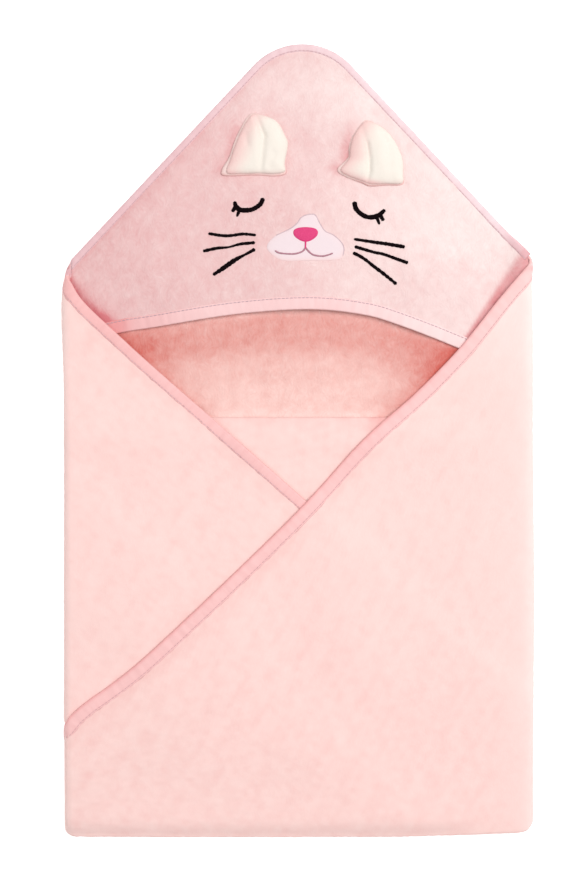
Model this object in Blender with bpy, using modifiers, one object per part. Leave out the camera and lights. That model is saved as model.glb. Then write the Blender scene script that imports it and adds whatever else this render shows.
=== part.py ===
"""Hooded baby towel, folded for display: a square of plush with a hood sewn over one corner.

The towel lies face up. +X is to its right, +Y towards the hood's corner, and +Z up. The bottom corner is
folded up first, then the left corner over it, then the right corner over both.
"""

import math

import bmesh
import bpy

# Driving dimensions, in metres.
HALF_WIDTH = 0.1863
HALF_LENGTH = 0.3128
LAYER = 0.0020
GAP = 0.0003
PITCH = LAYER + GAP
BINDING_WIDTH = 0.0098
CORNER_BINDING_WIDTH = 0.0066

# The hood's corner: the two bound edges meet at a rounded point.
CORNER_X = 0.0035
CORNER_RADIUS = 0.057
CORNER_HALF_ANGLE = math.radians(42.2)

# The hood stands off the back panel most at the middle of its mouth.
HOOD_BULGE = 0.010
HOOD_BULGE_HALF_WIDTH = 0.170
HOOD_BULGE_FOOT = 0.100
HOOD_BULGE_DEPTH = 0.160

# Layers count up from the surface that the towel lies on.
BACK, TURNED_TIP, BOTTOM_FLAP, LEFT_UNDER, LEFT_FLAP, RIGHT_UNDER, RIGHT_FLAP = range(7)
HOOD = 1
STACK_HEIGHT = RIGHT_FLAP * PITCH + LAYER

# The right flap turns about the middle of its fold, and everything rigid near the fold keeps clear of it.
HINGE_RADIUS = STACK_HEIGHT / 2
HINGE_X = HALF_WIDTH - HINGE_RADIUS
HINGE_Z = HINGE_RADIUS
FLAP_CLEARANCE = 0.0078
RIGHT_FLAP_EDGE = HINGE_X - FLAP_CLEARANCE

# The right flap's tip is tucked down over the left side, which is that much narrower.
LEFT_SIDE = -(HALF_WIDTH - PITCH)
LEFT_FOLD_RADIUS = (LEFT_FLAP * PITCH + LAYER) / 2
LEFT_FOLD_X = LEFT_SIDE + LEFT_FOLD_RADIUS
TUCK_FOOT = 0.0008

RIGHT_SHOULDER = 0.140
CREASE = 0.018
CREASE_HALF_LENGTH = 0.140
SIDE_OF_BOTTOM_FLAP = -0.024
TURNED_TIP_DEPTH = 0.140
CORNER_CUT = 0.009

# Bound edges, each through a few points.
LEFT_EDGE = [(-0.1765, 0.1205), (-0.1680, 0.1080), (-0.1082, 0.0521), (0.0, -0.0427), (0.1700, -0.1950)]
RIGHT_EDGE = [
    (RIGHT_FLAP_EDGE - 0.8 * BINDING_WIDTH, 0.1155),
    (0.1272, 0.0719),
    (0.0782, 0.0253),
    (-0.0063, -0.0624),
    (-0.1193, -0.1699),
    (LEFT_SIDE, -0.2225),
]
MOUTH = [(-0.1750, 0.0775), (-0.1138, 0.0893), (0.0080, 0.1033), (0.1067, 0.0806), (0.1730, 0.0515)]

# Decoration on the hood.
MUZZLE_CENTRE = (0.0065, 0.1555)
MUZZLE_HALF_WIDTH = 0.0305
MUZZLE_HALF_HEIGHT = 0.0135
MUZZLE_BRIDGE = 0.0230
PATCH_THICKNESS = 0.0008
PATCH_LIFT = 0.0006
NOSE_CENTRE = (0.0060, 0.1625)
NOSE_HALF_WIDTH = 0.0100
NOSE_HALF_HEIGHT = 0.0052
THREAD_RADIUS = 0.0010
FINE_THREAD_RADIUS = 0.0007

EAR_LENGTH = 0.050
EAR_HALF_WIDTH = 0.0250
EAR_SKIN = 0.0020
EAR_PUFF = 0.0050
EAR_HINGE_RISE = 0.0010
EAR_HINGE_REACH = 0.0012

PINK = (0.95, 0.72, 0.69)
INNER_PINK = (0.90, 0.62, 0.59)
BINDING_PINK = (0.92, 0.62, 0.62)
IVORY = (0.96, 0.92, 0.86)
PALE_PINK = (0.93, 0.80, 0.79)
NOSE_PINK = (0.80, 0.12, 0.27)
BLACK = (0.01, 0.006, 0.006)
MAUVE = (0.42, 0.22, 0.27)


def clear_scene():
    for obj in list(bpy.data.objects):
        bpy.data.objects.remove(obj)


def new_collection(name):
    collection = bpy.data.collections.new(name)
    bpy.context.scene.collection.children.link(collection)
    return collection


def fabric(name, colour, roughness=0.9):
    material = bpy.data.materials.new(name)
    material.use_nodes = True
    shader = material.node_tree.nodes["Principled BSDF"]
    shader.inputs["Base Color"].default_value = (*colour, 1.0)
    shader.inputs["Roughness"].default_value = roughness
    shader.inputs["Metallic"].default_value = 0.0
    return material


def layer_bottom(layer):
    return layer * PITCH


def bulge(x, y):
    """How far the hood stands off at (x, y)."""
    across = max(0.0, 1.0 - (x / HOOD_BULGE_HALF_WIDTH) ** 2) ** 1.5
    along = min(1.0, max(0.0, 1.0 - (y - HOOD_BULGE_FOOT) / HOOD_BULGE_DEPTH)) ** 2
    return HOOD_BULGE * across * along


def hood_top(x, y):
    return layer_bottom(HOOD) + LAYER + bulge(x, y)


def smooth_path(points, steps=6):
    """Points on a Catmull-Rom curve through the given points, of two or three coordinates."""
    ends = [points[0]] + list(points) + [points[-1]]
    path = []
    for a, b, c, d in zip(ends, ends[1:], ends[2:], ends[3:]):
        for step in range(steps):
            t = step / steps
            weights = (
                (-t + 2 * t * t - t**3) / 2,
                (2 - 5 * t * t + 3 * t**3) / 2,
                (t + 4 * t * t - 3 * t**3) / 2,
                (t**3 - t * t) / 2,
            )
            path.append(tuple(sum(w * p for w, p in zip(weights, values)) for values in zip(a, b, c, d)))
    path.append(tuple(points[-1]))
    return path


def arc(centre, radius, start, end, steps):
    """Points on an arc, with its angles in degrees."""
    angles = [math.radians(start + (end - start) * step / steps) for step in range(steps + 1)]
    return [(centre[0] + radius * math.cos(a), centre[1] + radius * math.sin(a)) for a in angles]


def offset_path(path, distance):
    """The open path moved sideways, to its left when distance is positive."""
    moved = []
    for i, (x, y) in enumerate(path):
        before = path[max(0, i - 1)]
        after = path[min(len(path) - 1, i + 1)]
        dx, dy = after[0] - before[0], after[1] - before[1]
        length = math.hypot(dx, dy)
        moved.append((x - dy / length * distance, y + dx / length * distance))
    return moved


def hood_corner(inset=0.0, left=LEFT_SIDE + CORNER_CUT / 4, right=HALF_WIDTH - CORNER_CUT / 4):
    """The hood's outer edge from the left shoulder over the rounded corner to the right shoulder."""
    angle = math.degrees(CORNER_HALF_ANGLE)
    slope = math.tan(CORNER_HALF_ANGLE)
    centre = (CORNER_X, HALF_LENGTH - CORNER_RADIUS)
    apex_y = centre[1] + (CORNER_RADIUS - inset) / math.sin(CORNER_HALF_ANGLE)
    left_end = (left, apex_y - (CORNER_X - left) / slope)
    right_end = (right, apex_y - (right - CORNER_X) / slope)
    return [left_end] + arc(centre, CORNER_RADIUS - inset, 180 - angle, angle, 16) + [right_end]


def flat_curve(name, outline):
    curve = bpy.data.curves.new(name, "CURVE")
    curve.dimensions = "2D"
    curve.fill_mode = "BOTH"
    spline = curve.splines.new("POLY")
    spline.points.add(len(outline) - 1)
    for point, (x, y) in zip(spline.points, outline):
        point.co = (x, y, 0.0, 1.0)
    spline.use_cyclic_u = True
    return curve


def place(obj, location, material, parent=None):
    """Puts the object in the towel's collection, at a place given in world axes."""
    towel.objects.link(obj)
    obj.data.materials.append(material)
    obj.location = location
    if parent:
        obj.parent = parent
        obj.location = [value - origin for value, origin in zip(location, parent.location)]
    return obj


def slab(name, outline, bottom, material, thickness=LAYER, parent=None):
    """A flat layer of cloth. Its outline is in world axes."""
    curve = flat_curve(name, outline)
    curve.extrude = thickness / 2
    return place(bpy.data.objects.new(name, curve), (0, 0, bottom + thickness / 2), material, parent)


def side_roll(name, x, z, outer, inner, low, high, material, towards=1, parent=None):
    """A fold that runs along Y: half a tube that opens away from the side it is on."""
    outline = arc((0, 0), outer, -90, 90, 12) + arc((0, 0), inner, 90, -90, 12)
    curve = flat_curve(name, [(towards * u, v) for u, v in outline])
    curve.extrude = (high - low) / 2
    obj = place(bpy.data.objects.new(name, curve), (x, (low + high) / 2, z), material, parent)
    obj.rotation_euler = (math.pi / 2, 0, 0)
    return obj


def cross_roll(name, edge_y, towards, bottom, top, left, right, material, parent=None):
    """A fold that runs along X, with its outside at edge_y: half a tube that opens away from that side."""
    outer = (top - bottom) / 2
    inner = max(outer - LAYER, GAP)
    outline = arc((0, 0), outer, -90, 90, 10) + arc((0, 0), inner, 90, -90, 10)
    curve = flat_curve(name, [(towards * u, v) for u, v in outline])
    curve.extrude = (right - left) / 2
    centre = ((left + right) / 2, edge_y - towards * outer, (bottom + top) / 2)
    obj = place(bpy.data.objects.new(name, curve), centre, material, parent)
    obj.rotation_euler = (math.pi / 2, 0, math.pi / 2)
    return obj


def strip(name, edge, width, bottom, material, parent=None):
    """A binding along an edge, with the cloth on the path's right."""
    outline = edge + offset_path(edge, -width)[::-1]
    return slab(name, outline, bottom, material, LAYER, parent)


def grid_sheet(name, across, along, point, thickness, material, location=(0, 0, 0), parent=None):
    """A curved sheet: a grid whose points follow point(u, v), thickened upwards."""
    mesh = bpy.data.meshes.new(name)
    grid = bmesh.new()
    bmesh.ops.create_grid(grid, x_segments=across, y_segments=along, size=0.5)
    for vertex in grid.verts:
        vertex.co = point(vertex.co.x + 0.5, vertex.co.y + 0.5)
    grid.to_mesh(mesh)
    grid.free()
    obj = place(bpy.data.objects.new(name, mesh), location, material, parent)
    solidify = obj.modifiers.new("Thickness", "SOLIDIFY")
    solidify.thickness = thickness
    solidify.offset = 1.0
    mesh.shade_smooth()
    mesh.set_sharp_from_angle(angle=math.radians(40))
    return obj


def along_path(path, share):
    """The point at this share of the path's length."""
    lengths = [math.dist(a, b) for a, b in zip(path, path[1:])]
    left = share * sum(lengths)
    for (a, b), length in zip(zip(path, path[1:]), lengths):
        if left <= length:
            return tuple(p + (q - p) * left / length for p, q in zip(a, b))
        left -= length
    return path[-1]


def thread(name, route, radius, material, surface=hood_top):
    """A line of satin stitch laid on the surface."""
    curve = bpy.data.curves.new(name, "CURVE")
    curve.dimensions = "3D"
    curve.bevel_depth = radius
    curve.bevel_resolution = 2
    curve.use_fill_caps = True
    points = smooth_path(route, 4)
    spline = curve.splines.new("POLY")
    spline.points.add(len(points) - 1)
    for point, (x, y) in zip(spline.points, points):
        point.co = (x, y, surface(x, y) + GAP + radius, 1.0)
    return place(bpy.data.objects.new(name, curve), (0, 0, 0), material)


def build_back_and_bottom():
    floor = layer_bottom(BACK)
    fold_top = layer_bottom(BOTTOM_FLAP) + LAYER
    bottom_edge = -HALF_LENGTH + (fold_top - floor) / 2 + GAP
    top_edge = hood_corner(CORNER_BINDING_WIDTH + GAP, LEFT_FOLD_X, HINGE_X)
    back_outline = top_edge + [(HINGE_X - GAP, bottom_edge), (LEFT_FOLD_X + GAP, bottom_edge)]
    slab("back_panel", back_outline, floor, plush)
    cross_roll("bottom_fold", -HALF_LENGTH, -1, floor, fold_top, LEFT_FOLD_X, HINGE_X, plush)
    tip_bottom = layer_bottom(TURNED_TIP)
    flap_top = CREASE - (fold_top - tip_bottom) / 2 - GAP
    cross_roll(
        "crease_fold", CREASE, 1, tip_bottom, fold_top, -CREASE_HALF_LENGTH, CREASE_HALF_LENGTH, smooth_side
    )
    flap_outline = [
        (LEFT_FOLD_X + GAP, bottom_edge),
        (HINGE_X - GAP, bottom_edge),
        (HINGE_X - GAP, SIDE_OF_BOTTOM_FLAP),
        (CREASE_HALF_LENGTH, flap_top),
        (-CREASE_HALF_LENGTH, flap_top),
        (LEFT_FOLD_X + GAP, SIDE_OF_BOTTOM_FLAP),
    ]
    slab("bottom_flap", flap_outline, layer_bottom(BOTTOM_FLAP), smooth_side)
    tip_outline = [(-CREASE_HALF_LENGTH, flap_top), (CREASE_HALF_LENGTH, flap_top), (0, CREASE - TURNED_TIP_DEPTH)]
    slab("turned_under_tip", tip_outline, tip_bottom, inner_plush)


def build_left_flap():
    under = layer_bottom(LEFT_UNDER)
    over = layer_bottom(LEFT_FLAP)
    roll_low = -HALF_LENGTH + CORNER_CUT
    bottom_edge = -HALF_LENGTH + (over + LAYER - under) / 2 + GAP
    edge = smooth_path(LEFT_EDGE)
    panel_edge = offset_path(edge, -BINDING_WIDTH - GAP)
    left = LEFT_FOLD_X + GAP
    panel_edge = [point for point in panel_edge if point[0] > left]
    flap_outline = [(left, bottom_edge), (left, panel_edge[0][1] + GAP)] + panel_edge
    flap_outline.append((panel_edge[-1][0], bottom_edge))
    slab("left_flap", flap_outline, over, plush)
    strip("left_flap_binding", edge, BINDING_WIDTH, over, binding)
    depth = SIDE_OF_BOTTOM_FLAP - bottom_edge
    under_outline = [(left, bottom_edge), (left + depth, bottom_edge), (left, SIDE_OF_BOTTOM_FLAP)]
    slab("left_flap_under_layer", under_outline, under, plush)
    cross_roll(
        "left_flap_bottom_fold", -HALF_LENGTH, -1, under, over + LAYER, LEFT_FOLD_X, LEFT_EDGE[-1][0], plush
    )
    side_roll(
        "left_fold",
        LEFT_FOLD_X,
        LEFT_FOLD_RADIUS,
        LEFT_FOLD_RADIUS,
        LEFT_FOLD_RADIUS - LAYER,
        roll_low,
        LEFT_EDGE[0][1] - 2 * BINDING_WIDTH,
        plush,
        towards=-1,
    )
    middle = (layer_bottom(BOTTOM_FLAP) + under + LAYER) / 2
    inner_radius = (under + LAYER - layer_bottom(BOTTOM_FLAP)) / 2
    side_roll(
        "left_fold_inner",
        LEFT_FOLD_X,
        middle,
        inner_radius,
        inner_radius - LAYER,
        roll_low,
        SIDE_OF_BOTTOM_FLAP,
        plush,
        towards=-1,
    )


def build_right_fold():
    low = -HALF_LENGTH + CORNER_CUT
    top = RIGHT_SHOULDER - CORNER_CUT
    side_roll("right_fold", HINGE_X, HINGE_Z, HINGE_RADIUS, HINGE_RADIUS - LAYER, low, top, plush)
    under_top = layer_bottom(RIGHT_UNDER) + LAYER
    middle = (layer_bottom(BOTTOM_FLAP) + under_top) / 2
    radius = (under_top - layer_bottom(BOTTOM_FLAP)) / 2
    side_roll(
        "right_fold_inner", HINGE_X, middle, radius, radius - LAYER, low, SIDE_OF_BOTTOM_FLAP, plush
    )


def build_right_flap(pivot):
    under = layer_bottom(RIGHT_UNDER)
    over = layer_bottom(RIGHT_FLAP)
    bottom_edge = -HALF_LENGTH + (over + LAYER - under) / 2 + GAP
    edge = smooth_path(RIGHT_EDGE)
    panel_edge = offset_path(edge, BINDING_WIDTH + GAP)
    panel_edge = [point for point in panel_edge if LEFT_SIDE < point[0] < RIGHT_FLAP_EDGE - 3 * GAP]
    flap_outline = [(RIGHT_FLAP_EDGE, bottom_edge), (RIGHT_FLAP_EDGE, panel_edge[0][1] - 3 * GAP)]
    flap_outline += panel_edge + [(LEFT_SIDE, panel_edge[-1][1] - GAP), (LEFT_SIDE, bottom_edge)]
    slab("right_flap", flap_outline, over, plush, parent=pivot)
    strip("right_flap_binding", edge[::-1], BINDING_WIDTH, over, binding, pivot)
    depth = SIDE_OF_BOTTOM_FLAP - bottom_edge
    under_outline = [
        (RIGHT_FLAP_EDGE, bottom_edge),
        (RIGHT_FLAP_EDGE, SIDE_OF_BOTTOM_FLAP),
        (RIGHT_FLAP_EDGE - depth, bottom_edge),
    ]
    slab("right_flap_under_layer", under_outline, under, plush, parent=pivot)
    cross_roll(
        "right_flap_bottom_fold", -HALF_LENGTH, -1, under, over + LAYER, LEFT_SIDE, RIGHT_FLAP_EDGE, plush, pivot
    )
    side = [
        (LEFT_SIDE - PITCH, -HALF_LENGTH + CORNER_CUT),
        (LEFT_SIDE - GAP, -HALF_LENGTH + CORNER_CUT),
        (LEFT_SIDE - GAP, RIGHT_EDGE[-1][1] - BINDING_WIDTH),
        (LEFT_SIDE - PITCH, RIGHT_EDGE[-1][1] - BINDING_WIDTH),
    ]
    slab("right_flap_tuck", side, TUCK_FOOT, plush, over + LAYER - TUCK_FOOT, pivot)


def build_hood():
    crown = hood_corner(CORNER_BINDING_WIDTH + GAP, LEFT_FOLD_X + 2 * GAP, HINGE_X - 2 * GAP)
    mouth = offset_path(smooth_path(MOUTH), BINDING_WIDTH + GAP)
    base = layer_bottom(HOOD)

    def panel_point(u, v):
        low = along_path(mouth, u)
        high = along_path(crown, u)
        x, y = (a + (b - a) * v for a, b in zip(low, high))
        return (x, y, base + bulge(x, y))

    grid_sheet("hood_panel", 28, 12, panel_point, LAYER, hood_plush)
    outer = smooth_path(MOUTH)
    inner = offset_path(outer, BINDING_WIDTH)

    def binding_point(u, v):
        low = along_path(outer, u)
        high = along_path(inner, u)
        x, y = (a + (b - a) * v for a, b in zip(low, high))
        return (x, y, base + bulge(x, y))

    grid_sheet("hood_edge_binding", 28, 2, binding_point, LAYER, binding)
    edge = hood_corner()
    strip_height = layer_bottom(HOOD) + LAYER
    outline = edge + hood_corner(CORNER_BINDING_WIDTH)[::-1]
    slab("corner_binding", outline, 0.0, corner_tape, strip_height)


def lifted(obj, centre, lift):
    """Lays a small flat patch on the hood, tilted to the slope under its middle."""
    x, y = centre
    step = 0.01
    slope = (hood_top(x, y + step) - hood_top(x, y - step)) / (2 * step)
    obj.location = (x, y, hood_top(x, y) + lift)
    obj.rotation_euler = (math.atan(slope), 0, 0)


def muzzle_outline():
    """A wide soft lens with a narrow bridge up its middle."""
    outline = []
    for step in range(48):
        angle = 2 * math.pi * step / 48
        x = MUZZLE_HALF_WIDTH * math.cos(angle)
        y = MUZZLE_HALF_HEIGHT * math.sin(angle)
        if math.sin(angle) > 0:
            y += (MUZZLE_BRIDGE - MUZZLE_HALF_HEIGHT) * math.exp(-((x / 0.0095) ** 2))
        outline.append((x, y))
    return outline


def nose_outline():
    """A rounded triangle, point down."""
    outline = []
    for step in range(24):
        angle = 2 * math.pi * step / 24
        narrowing = 1 - 0.35 * max(0.0, -math.sin(angle))
        outline.append((NOSE_HALF_WIDTH * math.cos(angle) * narrowing, NOSE_HALF_HEIGHT * math.sin(angle)))
    return outline


def patch(name, outline, centre, lift, material):
    curve = flat_curve(name, outline)
    curve.extrude = PATCH_THICKNESS / 2
    obj = place(bpy.data.objects.new(name, curve), (0, 0, 0), material)
    lifted(obj, centre, lift + PATCH_THICKNESS / 2)


def build_face():
    patch("muzzle_patch", muzzle_outline(), MUZZLE_CENTRE, PATCH_LIFT, pale)
    on_muzzle = PATCH_LIFT + PATCH_THICKNESS + PATCH_LIFT / 2
    patch("nose_patch", nose_outline(), NOSE_CENTRE, on_muzzle, nose_pink)

    def muzzle_top(x, y):
        return hood_top(*MUZZLE_CENTRE) + on_muzzle + muzzle_slope * (y - MUZZLE_CENTRE[1])

    step = 0.01
    x, y = MUZZLE_CENTRE
    muzzle_slope = (hood_top(x, y + step) - hood_top(x, y - step)) / (2 * step)
    smile = [(-0.0174, 0.1493), (-0.0063, 0.1469), (0.0059, 0.1512), (0.0174, 0.1461), (0.0260, 0.1477)]
    thread("mouth_stitch", smile, FINE_THREAD_RADIUS, mauve, muzzle_top)
    thread("nose_to_mouth_stitch", [(0.0059, 0.1565), (0.0059, 0.1536)], FINE_THREAD_RADIUS, mauve, muzzle_top)

    thread("eye_left_stitch", [(-0.0277, 0.1912), (-0.0332, 0.1838), (-0.0403, 0.1817), (-0.0502, 0.1888)],
           1.5 * THREAD_RADIUS, black)
    thread("eye_right_stitch", [(0.0446, 0.1883), (0.0490, 0.1800), (0.0580, 0.1761), (0.0691, 0.1820)],
           1.5 * THREAD_RADIUS, black)
    lashes = {
        "lash_left_outer": [(-0.0512, 0.1832), (-0.0528, 0.1804)],
        "lash_left_inner": [(-0.0464, 0.1796), (-0.0486, 0.1758)],
        "lash_right_inner": [(0.0618, 0.1740), (0.0645, 0.1700)],
        "lash_right_outer": [(0.0672, 0.1776), (0.0698, 0.1732)],
    }
    whiskers = {
        "whisker_left_upper": [(-0.0711, 0.1631), (-0.0529, 0.1616), (-0.0332, 0.1620)],
        "whisker_left_middle": [(-0.0751, 0.1493), (-0.0540, 0.1528), (-0.0340, 0.1560)],
        "whisker_left_lower": [(-0.0672, 0.1304), (-0.0498, 0.1422), (-0.0340, 0.1510)],
        "whisker_right_upper": [(0.0442, 0.1588), (0.0640, 0.1560), (0.0845, 0.1525)],
        "whisker_right_middle": [(0.0450, 0.1529), (0.0640, 0.1478), (0.0869, 0.1398)],
        "whisker_right_lower": [(0.0434, 0.1481), (0.0596, 0.1375), (0.0778, 0.1232)],
    }
    for name, route in (lashes | whiskers).items():
        thread(name, route, THREAD_RADIUS, black)


def ear_half_width(share):
    return EAR_HALF_WIDTH * (1 - min(share, 0.97) ** 3) ** 0.6


def build_ear(side, base, turn):
    """A plush ear: a pink back and an ivory front with a pleat, both sewn down along the base."""
    lowest = max(hood_top(base[0] + dx, base[1]) for dx in (-EAR_HALF_WIDTH, 0, EAR_HALF_WIDTH))
    pivot = bpy.data.objects.new(f"ear_{side}_pivot", None)
    pivot.location = (base[0], base[1], lowest + EAR_HINGE_RISE)
    pivot.rotation_euler = (0, 0, turn)
    towel.objects.link(pivot)

    def back_point(u, v):
        reach = EAR_HINGE_REACH + EAR_LENGTH * v
        return ((2 * u - 1) * ear_half_width(v), reach, 0.0)

    def front_point(u, v):
        across = 2 * u - 1
        reach = EAR_HINGE_REACH + EAR_LENGTH * 0.97 * v
        lobes = (1 - across**4) * (1 - 0.75 * math.exp(-((across / 0.28) ** 2)))
        rise = EAR_PUFF * lobes * math.sin(math.pi * min(v, 0.98)) ** 0.8
        return (across * 0.94 * ear_half_width(v), reach, EAR_SKIN + GAP + rise)

    shell = grid_sheet(f"ear_{side}_back", 8, 10, back_point, EAR_SKIN, hood_plush)
    front = grid_sheet(f"ear_{side}_front", 16, 10, front_point, EAR_SKIN, ivory)
    for piece in (shell, front):
        piece.parent = pivot
        piece.location = (0, 0, 0)


clear_scene()
towel = new_collection("hooded_baby_towel")
plush = fabric("pink_plush", PINK)
smooth_side = fabric("smooth_pink_side", PINK, 0.8)
inner_plush = fabric("inner_pink_plush", INNER_PINK)
hood_plush = fabric("hood_plush", PINK)
binding = fabric("binding_tape", BINDING_PINK, 0.6)
corner_tape = fabric("corner_tape", BINDING_PINK, 0.6)
ivory = fabric("ivory_plush", IVORY)
pale = fabric("pale_applique", PALE_PINK, 0.8)
nose_pink = fabric("nose_thread", NOSE_PINK, 0.5)
black = fabric("black_thread", BLACK, 0.5)
mauve = fabric("mauve_thread", MAUVE, 0.5)

flap_pivot = bpy.data.objects.new("right_flap_pivot", None)
flap_pivot.location = (HINGE_X, 0, HINGE_Z)
towel.objects.link(flap_pivot)

build_back_and_bottom()
build_left_flap()
build_right_fold()
build_right_flap(flap_pivot)
build_hood()
build_face()
build_ear("left", (-0.0340, 0.2080), math.radians(-2))
build_ear("right", (0.0600, 0.2030), math.radians(-7))
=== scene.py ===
import math

import bmesh
import bpy
import numpy as np
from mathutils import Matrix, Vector


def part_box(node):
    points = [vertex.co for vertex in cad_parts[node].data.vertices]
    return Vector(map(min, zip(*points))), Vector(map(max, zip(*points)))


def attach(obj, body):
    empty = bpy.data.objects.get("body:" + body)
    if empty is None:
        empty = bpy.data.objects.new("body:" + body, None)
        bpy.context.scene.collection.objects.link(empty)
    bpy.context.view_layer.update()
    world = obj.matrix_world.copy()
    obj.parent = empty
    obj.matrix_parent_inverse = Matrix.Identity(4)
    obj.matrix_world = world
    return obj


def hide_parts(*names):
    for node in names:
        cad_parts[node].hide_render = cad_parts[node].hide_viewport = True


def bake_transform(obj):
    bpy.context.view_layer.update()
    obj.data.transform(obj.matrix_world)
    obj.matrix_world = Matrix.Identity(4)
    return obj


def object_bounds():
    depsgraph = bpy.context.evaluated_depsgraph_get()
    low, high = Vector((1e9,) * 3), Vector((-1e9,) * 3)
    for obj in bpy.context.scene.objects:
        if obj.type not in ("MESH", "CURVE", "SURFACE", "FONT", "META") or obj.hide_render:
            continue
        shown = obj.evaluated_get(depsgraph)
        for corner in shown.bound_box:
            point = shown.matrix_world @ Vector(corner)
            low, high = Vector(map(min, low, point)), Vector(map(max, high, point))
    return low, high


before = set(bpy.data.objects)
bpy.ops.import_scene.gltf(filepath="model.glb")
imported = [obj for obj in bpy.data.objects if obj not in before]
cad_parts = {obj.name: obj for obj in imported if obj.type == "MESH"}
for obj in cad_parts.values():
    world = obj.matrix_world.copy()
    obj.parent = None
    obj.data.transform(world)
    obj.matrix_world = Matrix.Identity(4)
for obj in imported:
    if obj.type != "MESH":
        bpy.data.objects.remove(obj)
cad_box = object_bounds()

# The towel lies face up: +X to its right, +Y towards the hood's corner, +Z up. Everything is in metres.

# ---------------------------------------------------------------- sizes

HALF_LENGTH = cad_box[1][1]
CLOTH = 0.0022  # one layer of plush
PITCH = 0.0024  # from the middle of one layer to the next
BACK = CLOTH / 2
TURN = PITCH / 2  # radius of the cloth's middle where it is folded flat
FOLD_X = 0.1790  # where the back panel starts to turn up, at both sides
JOIN_X = 0.1690  # where the two side pieces leave the back panel
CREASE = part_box("bottom_flap")[1].y + 0.0015
TIP_DEPTH = 0.020
CREASE_DROP = 0.0016  # how far the bottom flap sinks towards its crease
SIDE_TOP = -0.024  # where the bottom flap's sides meet the folds
LEFT_ARC = 0.0150
RIGHT_ARC = 0.0180
RIGHT_RISE = 0.0117  # height of the right flap's middle beside its fold
RIGHT_SLOPE = 0.105
SHOULDER_RISE = 0.0045
TUCK_X = 0.1800
TUCK_REACH = 0.0034
TUCK_DROP = 0.0062
TUCK_ARC = 0.0072
TUCK_TURN = 1.15  # how many quarter turns the tuck makes
RIGHT_DROP = 0.0042  # how far each layer sinks at its bottom fold
LEFT_DROP = 0.0026
LEFT_RECESS = 0.0014  # how far each layer's bottom fold stays behind the top one's
BACK_RECESS = 0.0022
EDGE_INSET = 0.0022  # how far inside its bound edge the cloth itself ends

CORNER_X = 0.0035
CORNER_RADIUS = 0.052
CORNER_HALF_ANGLE = math.radians(43.2)
HOOD_BULGE = 0.0034
HOOD_PUFF = 0.0012

HOOD_TAPE = 0.0048  # width of the edge tape that shows on the hood
LEFT_TAPE = 0.0082  # on the left flap
RIGHT_TAPE = 0.0104  # on the right flap
INSIDE_TAPE = 0.0066  # and on the sides that face down
MOUTH_TAPE = 0.0100
TAPE_COVER = 0.00045
TAPE_STEPS = 12  # spaces between the lines across one side of a tape
TAPE_SPACING = 0.0015  # and between the places along it
SEAM = 0.86  # the share of a tape's width at which it is sewn down
STITCH_PITCH = 0.0032
STITCH_LENGTH = 0.0027
STITCH_RADIUS = 0.00028

LEFT_EDGE = [
    (-0.1805, 0.1262), (-0.1690, 0.1085), (-0.1406, 0.0815), (-0.1082, 0.0521), (0.0, -0.0427),
    (0.1750, -0.1995),
]
RIGHT_EDGE = [
    (-0.1860, -0.2260), (-0.1706, -0.2094), (-0.1193, -0.1699), (-0.0063, -0.0624), (0.0498, -0.0016),
    (0.0924, 0.0363), (0.1272, 0.0719), (0.1590, 0.1115), (0.1790, 0.1351),
]
MOUTH = [
    (-0.1800, 0.0760), (-0.1390, 0.0853), (-0.1138, 0.0893), (-0.0498, 0.0995), (0.0080, 0.1033),
    (0.0498, 0.0995), (0.0782, 0.0916), (0.1272, 0.0727), (0.1800, 0.0480),
]

LEFT_EAR = [
    (-0.0604, 0.2133), (-0.0577, 0.2088), (-0.0332, 0.2092), (-0.0190, 0.2084), (-0.0095, 0.2105),
    (-0.0100, 0.2188), (-0.0075, 0.2331), (-0.0095, 0.2402), (-0.0174, 0.2528), (-0.0340, 0.2583),
    (-0.0403, 0.2552), (-0.0458, 0.2457), (-0.0506, 0.2354), (-0.0545, 0.2236),
]
LEFT_EAR_FRONT = [
    (-0.0562, 0.2112), (-0.0440, 0.2104), (-0.0307, 0.2108), (-0.0190, 0.2102), (-0.0104, 0.2122),
    (-0.0106, 0.2188), (-0.0081, 0.2331), (-0.0101, 0.2398), (-0.0178, 0.2520), (-0.0335, 0.2572),
    (-0.0392, 0.2535), (-0.0444, 0.2445), (-0.0488, 0.2345), (-0.0530, 0.2225),
]
LEFT_PLEATS = [
    ([(-0.0340, 0.2575), (-0.0302, 0.2474), (-0.0271, 0.2394)], 0.0024, 0.0024),
    ([(-0.0271, 0.2394), (-0.0281, 0.2300), (-0.0296, 0.2110)], 0.0026, 0.0015),
    ([(-0.0186, 0.2253), (-0.0226, 0.2162)], 0.0030, 0.0009),
    ([(-0.0412, 0.2404), (-0.0400, 0.2330)], 0.0026, 0.0007),
]
LEFT_LOBES = [
    ((-0.0345, 0.2400), (0.0048, 0.0130), 0.0012),
    ((-0.0165, 0.2360), (0.0070, 0.0150), 0.0012),
]
RIGHT_EAR = [
    (0.0310, 0.2138), (0.0387, 0.2078), (0.0506, 0.2034), (0.0570, 0.2008), (0.0700, 0.2014),
    (0.0828, 0.2020), (0.0838, 0.2110), (0.0833, 0.2215), (0.0790, 0.2330), (0.0722, 0.2432),
    (0.0641, 0.2495), (0.0540, 0.2532), (0.0474, 0.2480), (0.0424, 0.2400), (0.0400, 0.2310),
    (0.0395, 0.2235),
]
RIGHT_EAR_FRONT = [
    (0.0338, 0.2136), (0.0400, 0.2088), (0.0510, 0.2048), (0.0580, 0.2024), (0.0700, 0.2026),
    (0.0820, 0.2030), (0.0831, 0.2110), (0.0826, 0.2212), (0.0783, 0.2325), (0.0716, 0.2424),
    (0.0637, 0.2486), (0.0542, 0.2520), (0.0484, 0.2470), (0.0436, 0.2392), (0.0412, 0.2302),
    (0.0404, 0.2226),
]
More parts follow.
